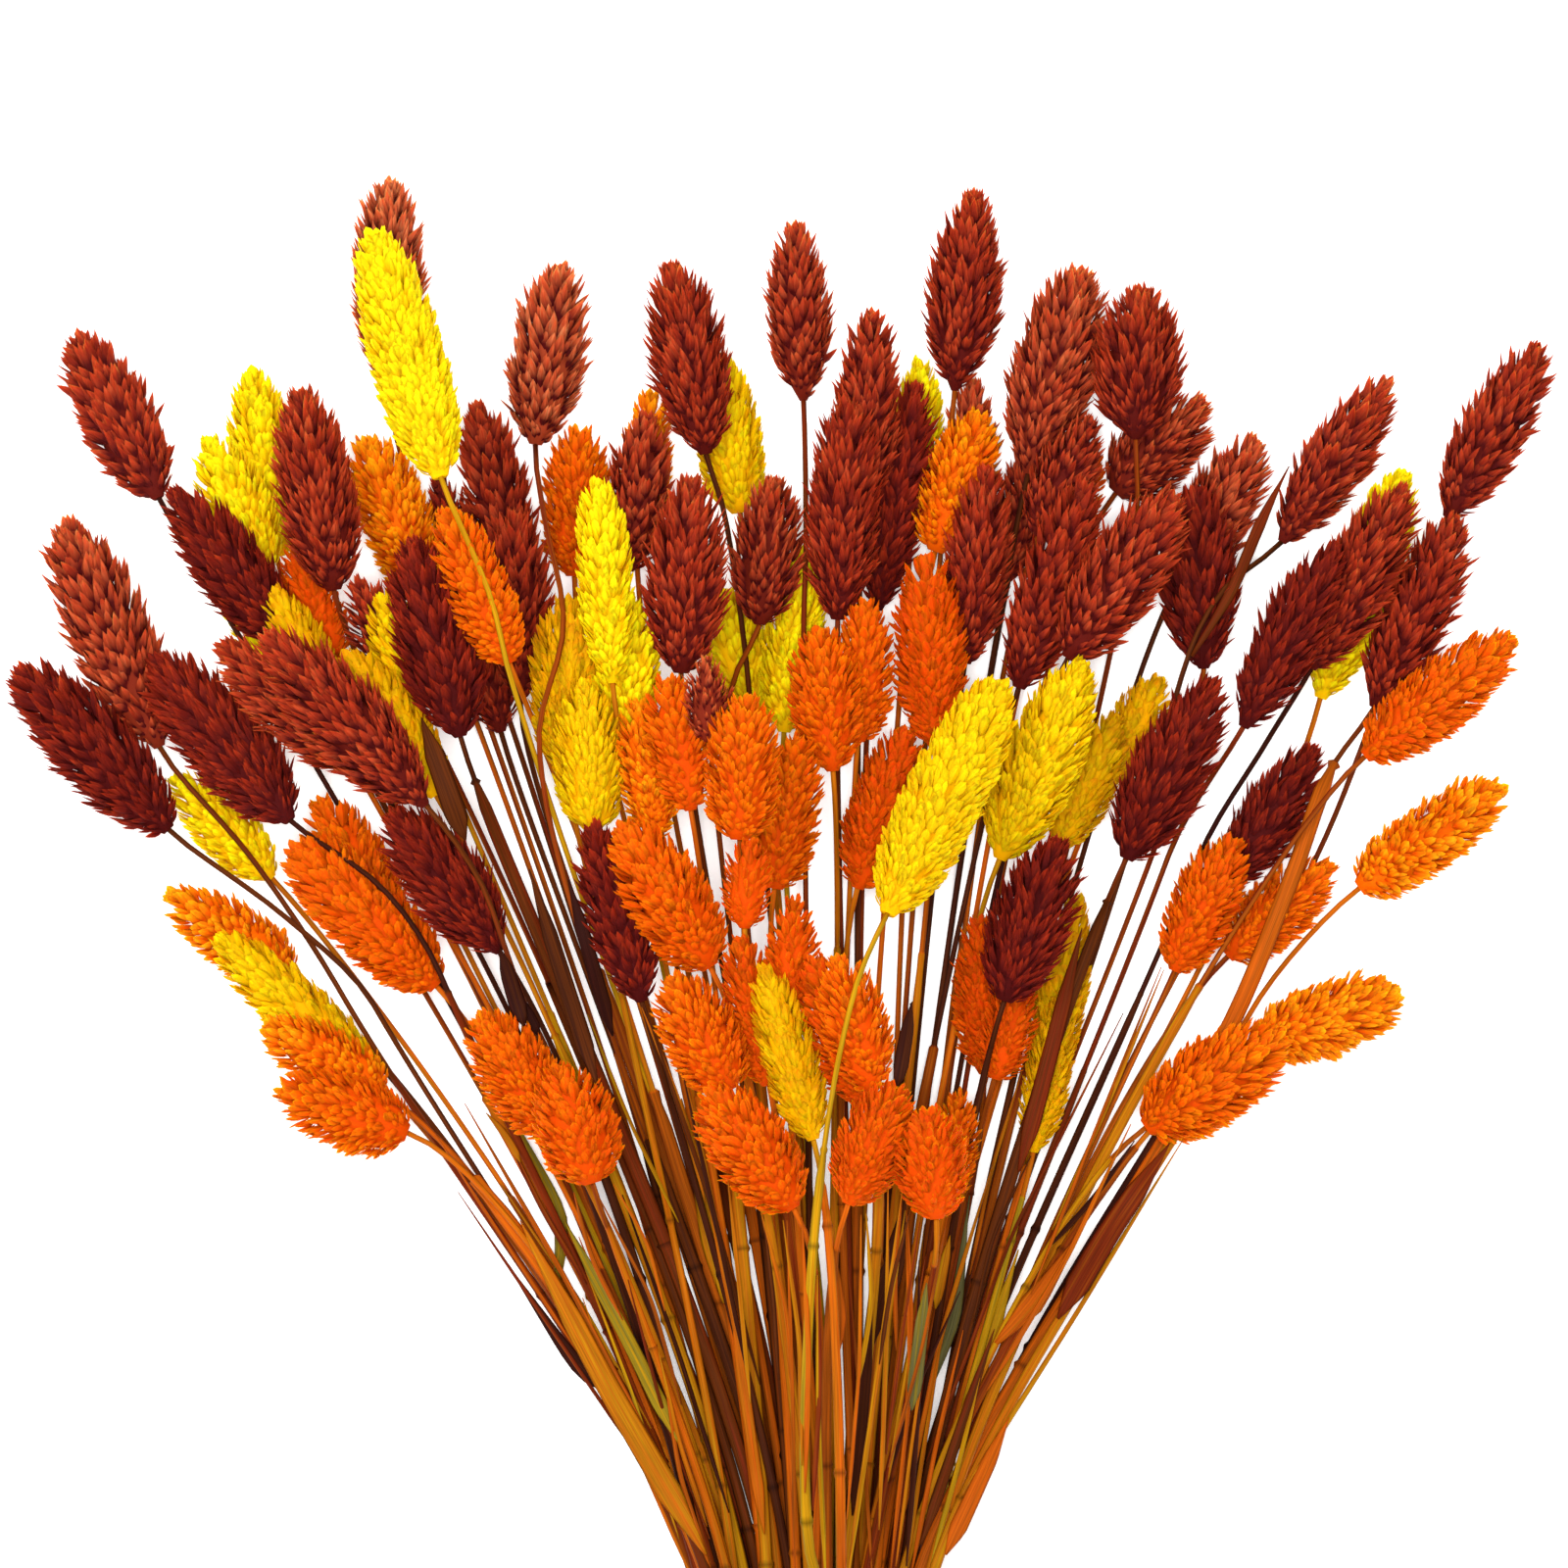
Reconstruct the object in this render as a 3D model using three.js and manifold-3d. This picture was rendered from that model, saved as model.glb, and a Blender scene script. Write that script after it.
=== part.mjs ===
// Dried canary grass: a bunch of dyed seed heads on cut stems, laid down on a surface.
// Millimetres, +Z up. X runs across the fan, Y from the waist of the bunch towards the heads.
// The places in the tables below are measured from the middle of the waist.
// The surface is z = 0, and the bunch is seen in its open fan from straight above.
import * as THREE from 'three';
import { mergeVertices } from 'three/addons/utils/BufferGeometryUtils.js';
import Module from 'manifold-3d';

const wasm = await Module();
wasm.setup();

// Waist: the stems lie side by side in columns and in levels, each in a cell of this pitch.
const COLUMN_COUNT = 15;
const CELL_PITCH = 2.95;
const ORIGIN_COLUMN = 8;
const TAIL_HALF = 1.2;
const SECOND_TAIL_HALF = 1.13;
const TAIL_LENGTH = 84;
const TAIL_UNEVENNESS = 12;
const TAIL_SINK = 1.1;

// Stem: a leaf sheath wraps its lower part, and a thin bare stalk carries the head.
const STALK_HALF = 0.55;
const SHEATH_HALF_THICKNESS = 0.7;
const SHEATH_WIDTH_MIN = 1.5;
const SHEATH_WIDTH_MAX = 2.9;
const SHEATH_TOP_MIN = 82;
const SHEATH_TOP_MAX = 152;
const SHEATH_MOUTH = 7;
const SHEATH_TO_HEAD_MIN = 9;
const SHEATH_START = 30;
const SHEATH_START_BLEND = 0.6;
const SHEATH_MOUTH_SHARE = 0.9;
const CURVE_STEPS = 60;
const LONG_STALK = 75;
const LONG_STALK_SPLIT = 0.55;
const BEND_SPACING = 8;
const LONG_SHEATH = 104;
const LONG_SHEATH_SPLIT = 0.5;
// Points round a corner of a stem, across and up: four on its sheath and tail, three on its stalk.
const SHEATH_SECTION = [[-1, -1], [1, -1], [1, 1], [-1, 1]];
const STALK_SECTION = [[-1, -1], [1, -1], [0, 1]];

// Fan: every stem drapes over the ones below it, and bends no more sharply than these slopes allow.
const SLOPE_MAX = 1;
const HEAD_SLOPE_MAX = 0.5;
const DRAPE_ROUNDS = 40;
const FAN_START = 11;
const WAIST_LEAN = 0.2;
const WAIST_PULL = 0.75;
const HEAD_PULL = 0.55;
const HEAD_PULL_MAX = 75;
const FLOOR_PRESS = 0.93;
const GAP = 0.34;
const SAMPLE_STEP = 1.6;
const HEAD_SAMPLES = 14;

// A spray takes the lowest of these columns round its place in the fan. Each column away from that
// place counts as so many millimetres of height.
const COLUMN_SHIFTS = [0, -1, 1, -2, 2];
const SHIFT_COST = 4;
const COST_TIE = 1e-6;

// Numbers by chance: a wave of large steps for the stem and for the use that the number has.
const CHANCE_STEM_STEP = 12.9898;
const CHANCE_USE_STEP = 78.233;
const CHANCE_SCALE = 43758.5453;
const CHANCE_USES = { sheathWidth: 1, sheathTop: 2, tailEnd: 3 };

// Head: rows of pointed scales on a slimmer core. The radii are parts of the half width.
const HEAD_PROFILE = [
  [0, 0.3], [0.06, 0.62], [0.18, 0.92], [0.35, 1], [0.55, 0.95], [0.75, 0.8], [0.9, 0.5], [1, 0.05],
];
const SCALE_COLUMNS = 5;
const SCALE_ROWS = 4;
const SHORT_HEAD_ROWS = 3;
const SHORT_HEAD_LENGTH = 26;
const HEAD_WIDTH_SHARE = 0.84;
const HEAD_THICKNESS_RATIO = 0.7;
const CORE_RATIO = 0.62;
const CORE_START = 0.03;
const CORE_END = 0.9;
const SCALE_LEAN = 0.75;
const FIRST_SCALE_ANGLE = -0.75 * Math.PI;

// The slab under the surface.
const SLAB_SIZE = 1200;
const SLAB_DEPTH = 40;
const SLAB_MIDDLE_Y = 300;

// Leaf blades and torn sheaths are flat strips that leave a stem of their spray.
const BLADE_HALF_THICKNESS = 0.35;
const BLADE_ROOT_SHARE = 0.7;
const BLADE_FREE_START = 7;
const BLADE_SLOPE_MAX = 0.3;

const DRY_ROUGHNESS = 0.85;
const DYES = {
  red: new THREE.Color('#8a2118'),
  orange: new THREE.Color('#ec6a10'),
  yellow: new THREE.Color('#ecc410'),
};

// Each spray holds stems of one dye, stuck together at their cut ends, from the lowest to the highest.
// A stem is [head base x, base y, tip x, tip y, head width], seen from above. Where its sheath stands
// out on the real one, [sheath width, distance of its mouth from the waist] follows, or else null, and
// where its way to the head is plain to see, the x and y of points that it passes.
// A leaf is [number of its stem in the spray, distance of its root from the waist, width, then the
// x and y of the points that it passes, up to its tip].
const SPRAYS = [
  { dye: 'red', stems: [[-87, 270, -87, 313, 15], [-71, 230, -77, 252, 13]] },
  {
    dye: 'yellow',
    stems: [[-110, 236, -115, 274, 15], [-112, 232, -124, 260, 15], [-103, 208, -121, 235, 14]],
  },
  { dye: 'orange', stems: [[-98, 212, -106, 238, 12], [-79, 228, -92, 260, 15]] },
  { dye: 'red', stems: [[-134, 248, -151, 281, 16], [-108, 219, -131, 249, 16]] },
  { dye: 'red', stems: [[-98, 229, -105, 270, 17], [-82, 208, -94, 231, 13]] },
  {
    dye: 'yellow',
    stems: [[-80, 205, -88, 228, 13], [-98, 202, -110, 229, 12], [-77, 187, -95, 216, 15]],
  },
  { dye: 'red', stems: [[-64, 200, -72, 230, 13], [-72, 199, -82, 239, 18, [3, 205]]] },
  { dye: 'red', stems: [[-60, 226, -69, 267, 14, [2.8, 180]], [-60, 206, -61, 245, 15]] },
  {
    dye: 'orange',
    stems: [[-62, 214, -75, 245, 13], [-49, 232, -48, 262, 14], [-36, 238, -33, 270, 11]],
  },
  {
    dye: 'yellow',
    stems: [[-76, 252, -90, 302, 16, null, [-62, 212], [-66, 228]], [-50, 192, -50, 227, 16, [3.2, 120]]],
  },
  {
    dye: 'red',
    stems: [
      [-57, 259, -52, 296, 16, null, [-48, 160], [-56, 198], [-51, 222], [-55, 244]],
      [-38, 233, -34, 265, 14],
    ],
  },
  { dye: 'yellow', stems: [[-38, 197, -38, 228, 14, [3.2, 130]], [-41, 210, -44, 251, 12]] },
  { dye: 'yellow', stems: [[-15, 245, -20, 277, 14], [-12, 200, -18, 229, 15]] },
  {
    dye: 'red',
    stems: [[-22, 257, -29, 296, 16, null, [-13, 207], [-18, 244]], [-27, 212, -25, 252, 17]],
  },
  { dye: 'yellow', stems: [[-6, 200, -2, 237, 13], [20, 240, 22, 276, 12]] },
  {
    dye: 'red',
    stems: [
      [-11, 222, -8, 252, 15, null, [-17, 207]],
      [-2, 268, -4, 304, 14, null, [-2, 219], [-1.5, 240]],
    ],
  },
  { dye: 'red', stems: [[13, 225, 21, 271, 13], [10, 247, 12, 286, 14], [5, 223, 7, 268, 15]] },
  { dye: 'red', stems: [[31, 236, 33, 272, 12], [29, 270, 33, 311, 16]] },
  { dye: 'orange', stems: [[25, 237, 34, 265, 14], [50, 238, 58, 256, 10]] },
  { dye: 'red', stems: [[40, 231, 46, 259, 13], [44, 253, 55, 295, 18]] },
  { dye: 'red', stems: [[46, 240, 57, 264, 14], [62, 249, 80, 268, 17]] },
  { dye: 'red', stems: [[66, 260, 67, 291, 19, null, [66, 242]], [74, 229, 91, 260, 16]] },
  { dye: 'red', stems: [[31, 214, 36, 254, 14], [42, 209, 56, 251, 15]] },
  { dye: 'red', stems: [[80, 213, 78, 250, 17], [52, 215, 74, 249, 17]] },
  { dye: 'yellow', stems: [[104, 207, 121, 253, 14, null, [101, 197]]] },
  {
    dye: 'red',
    stems: [
      [96, 239, 118, 272, 14, null, [75, 210], [83, 228]],
      [130, 244, 149, 279, 15, null, [104, 176]],
    ],
    leaves: [[0, 212, 2.4, 86, 229, 91.5, 243, 97.5, 254.5]],
  },
  {
    dye: 'red',
    stems: [
      [102, 213, 121, 250, 16, null, [79, 174], [93, 198]],
      [88, 201, 107, 238, 14, null, [73, 175]],
    ],
  },
  { dye: 'orange', stems: [[9, 198, 11, 227, 13], [4, 192, 1, 221, 15]] },
  { dye: 'orange', stems: [[25, 197, 23, 236, 15], [9, 168, 19, 200, 14]] },
  {
    dye: 'orange',
    stems: [[-32, 178, -36, 206, 12], [-25, 184, -30, 211, 13]],
    leaves: [[0, 68, 6, -20, 95, -27, 125]],
  },
  { dye: 'yellow', stems: [[-45, 180, -47, 210, 15]] },
  { dye: 'red', stems: [[-21, 198, -22, 215, 10], [-35, 145, -45, 181, 14]] },
  { dye: 'orange', stems: [[-8, 168, -3, 199, 14], [-15, 178, -14, 207, 15]] },
  { dye: 'orange', stems: [[-14, 160, -13, 178, 10], [-21, 152, -39, 181, 17]] },
  { dye: 'yellow', stems: [[60, 190, 71, 211, 12], [50, 176, 62, 203, 13], [38, 174, 55, 214, 17]] },
  {
    dye: 'yellow',
    stems: [[47, 126, 54, 166, 12], [45, 114, 51, 146, 10]],
    leaves: [[1, 50, 4, 36, 75, 42, 94]],
  },
  { dye: 'orange', stems: [[35, 130, 34, 162, 12], [37, 129, 43, 150, 11]] },
  {
    dye: 'red',
    stems: [[64, 174, 82, 211, 17, [2.8, 178]], [39, 145, 50, 178, 17]],
    leaves: [[1, 54, 3.2, 29, 80, 32, 105]],
  },
  { dye: 'red', stems: [[85, 169, 103, 197, 14]] },
  { dye: 'orange', stems: [[85, 154, 106, 173, 14], [74, 151, 86, 178, 14]] },
  { dye: 'red', stems: [[115, 205, 132, 244, 15, [3.8, 205], [85, 139], [98, 170], [106, 192]]] },
  { dye: 'orange', stems: [[113, 195, 143, 219, 15], [112, 168, 141, 189, 14, null, [90, 143]]] },
  {
    dye: 'orange',
    stems: [[90, 136, 120, 146, 15], [68, 119, 96, 138, 18]],
    leaves: [[1, 68, 5, 45, 83, 55, 98]],
  },
  { dye: 'orange', stems: [[-107, 150, -132, 167, 14]] },
  {
    dye: 'yellow',
    stems: [[-111, 170, -131, 191, 13], [-89, 128, -122, 158, 13]],
    leaves: [[1, 80, 3.2, -51, 100, -62, 122]],
  },
  {
    dye: 'red',
    stems: [
      [-134, 197, -154, 243, 18, null, [-97, 147], [-115, 174]],
      [-132, 180, -163, 213, 17, null, [-90, 144], [-108, 162]],
    ],
  },
  { dye: 'red', stems: [[-92, 192, -121, 218, 15], [-64, 155, -86, 184, 17]] },
  { dye: 'orange', stems: [[-86, 158, -101, 186, 15], [-77, 148, -106, 177, 17]] },
  {
    dye: 'red',
    stems: [
      [-79, 185, -112, 220, 18, null, [-66, 165]],
      [-107, 182, -135, 215, 18, null, [-76, 150], [-88, 168]],
    ],
    leaves: [[1, 55, 3.6, -47, 68, -64, 93]],
  },
  { dye: 'orange', stems: [[-88, 126, -112, 140, 14, [3.6, 112]], [-83, 118, -109, 127, 16]] },
  { dye: 'orange', stems: [[-52, 118, -68, 142, 16], [-45, 108, -52, 132, 17]] },
  { dye: 'orange', stems: [[-9, 128, -15, 158, 12], [-5, 142, -4, 166, 11]] },
  {
    dye: 'orange',
    stems: [[11, 124, 0, 154, 14], [12, 127, 5, 154, 14]],
    leaves: [[1, 60, 5.4, 16, 90, 19, 106]],
  },
  { dye: 'orange', stems: [[-17, 127, -29, 150, 16], [-4, 103, -21, 127, 17]] },
  { dye: 'orange', stems: [[7, 104, 17, 128, 15]], leaves: [[0, 58, 4.6, 5, 80, 3.5, 99]] },
  { dye: 'orange', stems: [[27, 104, 30, 126, 10], [25, 101, 23, 123, 15]] },
  {
    dye: 'yellow',
    stems: [
      [0, 117, -10, 152, 12],
      [15, 163, 38, 210, 17, null, [-1, 35], [-1, 80], [2.5, 118], [8.5, 148]],
    ],
  },
];

const mix = (a, b, part) => a + (b - a) * part;
const clamp = (value, low, high) => Math.min(high, Math.max(low, value));

// A repeatable number from 0 to 1 for each stem and use.
function chance(stemNumber, use) {
  const wave = Math.sin(stemNumber * CHANCE_STEM_STEP + use * CHANCE_USE_STEP) * CHANCE_SCALE;
  return wave - Math.floor(wave);
}

function headRadiusRatio(part) {
  for (let k = 1; k < HEAD_PROFILE.length; k += 1) {
    const [u0, r0] = HEAD_PROFILE[k - 1];
    const [u1, r1] = HEAD_PROFILE[k];
    if (part <= u1) {
      return mix(r0, r1, (part - u0) / (u1 - u0));
    }
  }
  return HEAD_PROFILE[HEAD_PROFILE.length - 1][1];
}

// Reads one stem of the table and adds the sizes that the table leaves out.
function readStem([baseX, baseY, tipX, tipY, width, sheath, ...via], stemNumber) {
  const length = Math.hypot(tipX - baseX, tipY - baseY);
  const wideness = chance(stemNumber, CHANCE_USES.sheathWidth) ** 2;
  const widthByChance = mix(SHEATH_WIDTH_MIN, SHEATH_WIDTH_MAX, wideness);
  const topByChance = mix(SHEATH_TOP_MIN, SHEATH_TOP_MAX, chance(stemNumber, CHANCE_USES.sheathTop));
  const tailChange = mix(-TAIL_UNEVENNESS / 2, TAIL_UNEVENNESS / 2, chance(stemNumber, CHANCE_USES.tailEnd));
  return {
    base: [baseX, baseY],
    tip: [tipX, tipY],
    via,
    axis: [(tipX - baseX) / length, (tipY - baseY) / length],
    headLength: length,
    headHalf: (width / 2) * HEAD_WIDTH_SHARE,
    sheathHalf: (sheath ? sheath[0] : widthByChance) / 2,
    sheathTop: sheath ? sheath[1] : topByChance,
    tailEnd: -TAIL_LENGTH - tailChange,
    fanAngle: Math.atan2(baseX, baseY),
  };
}

// Plan of a stem from its column at the waist to the base of its head, by way of its own points, as
// points with their path length.
function planCurve(stem, columnX) {
  const knots = [[columnX, FAN_START], ...stem.via, stem.base];
  const last = knots.length - 1;
  const apart = (a, b) => [b[0] - a[0], b[1] - a[1]];
  const directions = knots.map((knot, k) => {
    if (k === last) {
      return stem.axis;
    }
    const [dx, dy] = apart(knots[Math.max(k - 1, 0)], knots[k + 1]);
    const angle = Math.atan2(dx, dy) * (k === 0 ? WAIST_LEAN : 1);
    return [Math.sin(angle), Math.cos(angle)];
  });
  const curve = [{ x: columnX, y: FAN_START, path: 0 }];
  for (let k = 0; k < last; k += 1) {
    const [from, to] = [knots[k], knots[k + 1]];
    const reach = Math.hypot(...apart(from, to));
    const startPull = reach * (k === 0 ? WAIST_PULL : 1);
    const endPull = k === last - 1 ? Math.min(reach * HEAD_PULL, HEAD_PULL_MAX) : reach;
    for (let n = 1; n <= CURVE_STEPS; n += 1) {
      const u = n / CURVE_STEPS;
      const h00 = 2 * u ** 3 - 3 * u ** 2 + 1;
      const h10 = (u ** 3 - 2 * u ** 2 + u) * startPull;
      const h01 = -2 * u ** 3 + 3 * u ** 2;
      const h11 = (u ** 3 - u ** 2) * endPull;
      const [x, y] = [0, 1].map(
        (i) => h00 * from[i] + h10 * directions[k][i] + h01 * to[i] + h11 * directions[k + 1][i],
      );
      const before = curve[curve.length - 1];
      curve.push({ x, y, path: before.path + Math.hypot(x - before.x, y - before.y) });
    }
  }
  return curve;
}

function pointAt(curve, path) {
  let k = 1;
  while (k < curve.length - 1 && curve[k].path < path) {
    k += 1;
  }
  const before = curve[k - 1];
  const after = curve[k];
  const part = clamp((path - before.path) / (after.path - before.path), 0, 1);
  return [mix(before.x, after.x, part), mix(before.y, after.y, part)];
}

// The corner points of a stem and its head: place in plan, half width and thickness, and way along it.
function stemCorners(stem, columnX, tailHalf) {
  const curve = planCurve(stem, columnX);
  const total = curve[curve.length - 1].path;
  const mouthTop = Math.min(stem.sheathTop, total - SHEATH_TO_HEAD_MIN);
  const mouthFoot = mouthTop - SHEATH_MOUTH;
  const corners = [{ x: columnX, y: stem.tailEnd, half: tailHalf, thick: TAIL_HALF, path: stem.tailEnd }];
  const add = (path, half, thick) => {
    const [x, y] = pointAt(curve, path);
    corners.push({ x, y, half, thick, path });
  };
  add(0, tailHalf, TAIL_HALF);
  add(SHEATH_START, mix(TAIL_HALF, stem.sheathHalf, SHEATH_START_BLEND), SHEATH_HALF_THICKNESS);
  if (mouthFoot > LONG_SHEATH) {
    add(mix(SHEATH_START, mouthFoot, LONG_SHEATH_SPLIT), stem.sheathHalf, SHEATH_HALF_THICKNESS);
  }
  add(mouthFoot, stem.sheathHalf * SHEATH_MOUTH_SHARE, SHEATH_HALF_THICKNESS);
  add(mouthTop, STALK_HALF, STALK_HALF);
  const bends = stem.via.map((knot, k) => curve[(k + 1) * CURVE_STEPS].path);
  if (bends.length === 0 && total - mouthTop > LONG_STALK) {
    bends.push(mix(mouthTop, total, LONG_STALK_SPLIT));
  }
  for (const path of bends) {
    if (path > corners[corners.length - 1].path + BEND_SPACING && path < total - BEND_SPACING) {
      add(path, STALK_HALF, STALK_HALF);
    }
  }
  add(total, STALK_HALF, STALK_HALF);
  corners.push({ x: stem.tip[0], y: stem.tip[1], half: 0, thick: 0, path: total + stem.headLength });
  return corners;
}

// Dense points between the corners of a stem and along its head, or of a leaf, which has no head.
// Each has its lowest possible height.
function samplesOf(corners, headHalf) {
  const samples = [];
  for (let k = 1; k < corners.length; k += 1) {
    const a = corners[k - 1];
    const b = corners[k];
    const isHead = headHalf > 0 && k === corners.length - 1;
    const steps = isHead ? HEAD_SAMPLES : Math.max(1, Math.ceil((b.path - a.path) / SAMPLE_STEP));
    for (let n = 0; n < steps; n += 1) {
      const part = isHead ? (n + 1) / steps : n / steps;
      const radius = isHead ? headHalf * headRadiusRatio(part) : 0;
      const half = isHead ? radius : mix(a.half, b.half, part);
      const thick = isHead ? radius * HEAD_THICKNESS_RATIO : mix(a.thick, b.thick, part);
      const floor = isHead ? thick * FLOOR_PRESS : thick;
      const x = mix(a.x, b.x, part);
      const y = mix(a.y, b.y, part);
      samples.push({ x, y, half, thick, isHead, path: mix(a.path, b.path, part), segment: k, part, floor });
    }
  }
  return samples;
}

// Height that two samples need between their middles, or 0 where they are clear of each other in plan.
// A head is an oval that is less thick than wide.
function neededHeight(a, b) {
  const across = a.half + b.half + GAP;
  const distance = Math.hypot(a.x - b.x, a.y - b.y);
  if (distance >= across) {
    return 0;
  }
  const apart = a.thick + b.thick + GAP;
  if (!a.isHead && !b.isHead) {
    return apart;
  }
  const flat = (a.isHead ? 0 : a.half) + (b.isHead ? 0 : b.half);
  const sideways = Math.max(0, distance - flat) / (across - flat);
  return apart * Math.sqrt(1 - sideways * sideways);
}

// Raises the floor of every sample to what it needs above the samples of a placed stem.
function raiseFloor(samples, others) {
  for (const b of others) {
    for (const a of samples) {
      const reach = a.half + b.half + GAP;
      if (Math.abs(a.x - b.x) < reach && Math.abs(a.y - b.y) < reach) {
        const need = neededHeight(a, b);
        if (need > 0) {
          a.floor = Math.max(a.floor, b.z + need);
        }
      }
    }
  }
}

// The heights of the corners of a stem that drapes over its floor. No corner rises past the highest
// floor beside it, so that stems in many layers add their thickness and no more.
function drape(corners, samples) {
  const last = corners.length - 1;
  const ceiling = new Array(corners.length).fill(0);
  for (const { segment, floor } of samples) {
    ceiling[segment - 1] = Math.max(ceiling[segment - 1], floor);
    ceiling[segment] = Math.max(ceiling[segment], floor);
  }
  const least = new Array(corners.length).fill(0);
  for (const { segment, part, floor } of samples) {
    if (segment === 1) {
      least[0] = Math.max(least[0], floor);
    } else if (part < 1) {
      least[segment - 1] = Math.max(least[segment - 1], (floor - part * ceiling[segment]) / (1 - part));
    }
  }
  const climb = corners.map((corner, k) => {
    const slope = k === last ? HEAD_SLOPE_MAX : SLOPE_MAX;
    return k > 0 ? (corner.path - corners[k - 1].path) * slope : 0;
  });
  let z = [];
  for (let round = 0; round < DRAPE_ROUNDS; round += 1) {
    z = least.slice();
    z.fill(Math.max(least[0], least[1]), 0, 2);
    for (const { segment, part, floor } of samples) {
      if (part === 0 && segment > 2) {
        z[segment - 1] = Math.max(z[segment - 1], z[segment - 2] - climb[segment - 1]);
      }
      if (segment > 1 && part > 0) {
        z[segment] = Math.max(z[segment], (floor - (1 - part) * z[segment - 1]) / part);
      }
    }
    z[last] = Math.max(z[last], z[last - 1] - climb[last]);
    for (let k = last; k > 1; k -= 1) {
      least[k - 1] = Math.max(least[k - 1], z[k] - climb[k]);
    }
  }
  return z;
}

function setHeights(strand) {
  strand.corners.forEach((corner, k) => {
    corner.z = strand.heights[k];
  });
  for (const sample of strand.samples) {
    sample.z = mix(strand.heights[sample.segment - 1], strand.heights[sample.segment], sample.part);
  }
}

// A leaf that leaves a stem inside its sheath and then drapes over the placed stems.
function leafOf(strand, [rootPath, width, ...places], placed) {
  const root = strand.samples.find((sample) => sample.path >= rootPath);
  const thick = BLADE_HALF_THICKNESS;
  const corners = [{ x: root.x, y: root.y, half: root.half * BLADE_ROOT_SHARE, thick, path: 0 }];
  for (let k = 0; k < places.length; k += 2) {
    const before = corners[corners.length - 1];
    const [x, y] = [places[k], places[k + 1]];
    const isTip = k === places.length - 2;
    const path = before.path + Math.hypot(x - before.x, y - before.y);
    corners.push({ x, y, half: isTip ? 0 : width / 2, thick, path });
  }
  const samples = samplesOf(corners, 0).filter((sample) => sample.path > BLADE_FREE_START);
  raiseFloor(samples, placed);
  const heights = [root.z];
  for (let k = 1; k < corners.length; k += 1) {
    const run = corners[k].path - corners[k - 1].path;
    const own = samples.filter((sample) => sample.segment === k && sample.part > 0);
    const needs = own.map(({ part, floor }) => (floor - (1 - part) * heights[k - 1]) / part);
    heights.push(Math.max(thick, heights[k - 1] - BLADE_SLOPE_MAX * run, ...needs));
  }
  return { corners, samples, heights };
}

function columnPlace(column) {
  return (column - (COLUMN_COUNT - 1) / 2) * CELL_PITCH;
}

// The column of a spray: near its place in the fan, and where the waist is lowest.
function columnOf(wanted, waistTops) {
  const nearest = clamp(Math.round(wanted), 0, COLUMN_COUNT - 1);
  let best = nearest;
  let bestCost = Infinity;
  for (const shift of COLUMN_SHIFTS) {
    const column = clamp(nearest + shift, 0, COLUMN_COUNT - 1);
    const cost = waistTops[column] + SHIFT_COST * Math.abs(column - nearest);
    if (cost < bestCost - COST_TIE) {
      best = column;
      bestCost = cost;
    }
  }
  return best;
}

// Gives every spray its column at the waist, and every stem its heights, from the lowest spray up.
function layOut() {
  let stemNumber = 0;
  const sprays = SPRAYS.map((spray) => ({
    dye: spray.dye,
    leaves: spray.leaves,
    stems: spray.stems.map((row) => {
      stemNumber += 1;
      return readStem(row, stemNumber);
    }),
  }));
  const byAngle = sprays.flatMap((spray) => spray.stems).sort((a, b) => a.fanAngle - b.fanAngle);
  byAngle.forEach((stem, rank) => {
    stem.wantedColumn = ((2 * rank + 1) / byAngle.length * COLUMN_COUNT - 1) / 2;
  });
  const waistTops = new Array(COLUMN_COUNT).fill(0);
  const placed = [];
  for (const spray of sprays) {
    const wanted = spray.stems.reduce((sum, stem) => sum + stem.wantedColumn, 0) / spray.stems.length;
    const column = columnOf(wanted, waistTops);
    const columnX = columnPlace(column);
    spray.strands = spray.stems.map((stem, n) => {
      const corners = stemCorners(stem, columnX, n % 2 === 0 ? TAIL_HALF : SECOND_TAIL_HALF);
      const samples = samplesOf(corners, stem.headHalf);
      raiseFloor(samples, placed);
      const strand = { stem, corners, samples };
      strand.heights = drape(corners, samples);
      setHeights(strand);
      const leafRows = (spray.leaves ?? []).filter(([member]) => member === n);
      strand.leaves = leafRows.map(([, ...row]) => leafOf(strand, row, placed));
      placed.push(...samples);
      for (const leaf of strand.leaves) {
        setHeights(leaf);
        placed.push(...leaf.samples);
      }
      return strand;
    });
    const top = spray.strands[spray.strands.length - 1];
    waistTops[column] = top.heights[0] + TAIL_HALF;
  }
  return sprays;
}

function addPoint(surface, x, y, z) {
  surface.points.push(x, y, z);
  return surface.points.length / 3 - 1;
}

// Joins a ring of points to the next one by a band. The rings may differ in their number of points.
function addBand(surface, lower, upper) {
  let low = 0;
  let high = 0;
  while (low < lower.length || high < upper.length) {
    const a = lower[low % lower.length];
    const b = upper[high % upper.length];
    const stepLow = (low + 1) / lower.length <= (high + 1) / upper.length;
    if (stepLow) {
      low += 1;
      surface.triangles.push(a, lower[low % lower.length], b);
    } else {
      high += 1;
      surface.triangles.push(a, upper[high % upper.length], b);
    }
  }
}

// The ring of a stem at a corner, which reaches down to the given bottom where that is lower.
function addStemRing(surface, corner, side, bottom) {
  return (corner.half === STALK_HALF ? STALK_SECTION : SHEATH_SECTION).map(([across, up]) => {
    const x = corner.x + side[0] * corner.half * across;
    const y = corner.y + side[1] * corner.half * across;
    const z = up > 0 ? corner.z + corner.thick : Math.min(corner.z - corner.thick, bottom);
    return addPoint(surface, x, y, z);
  });
}

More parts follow.
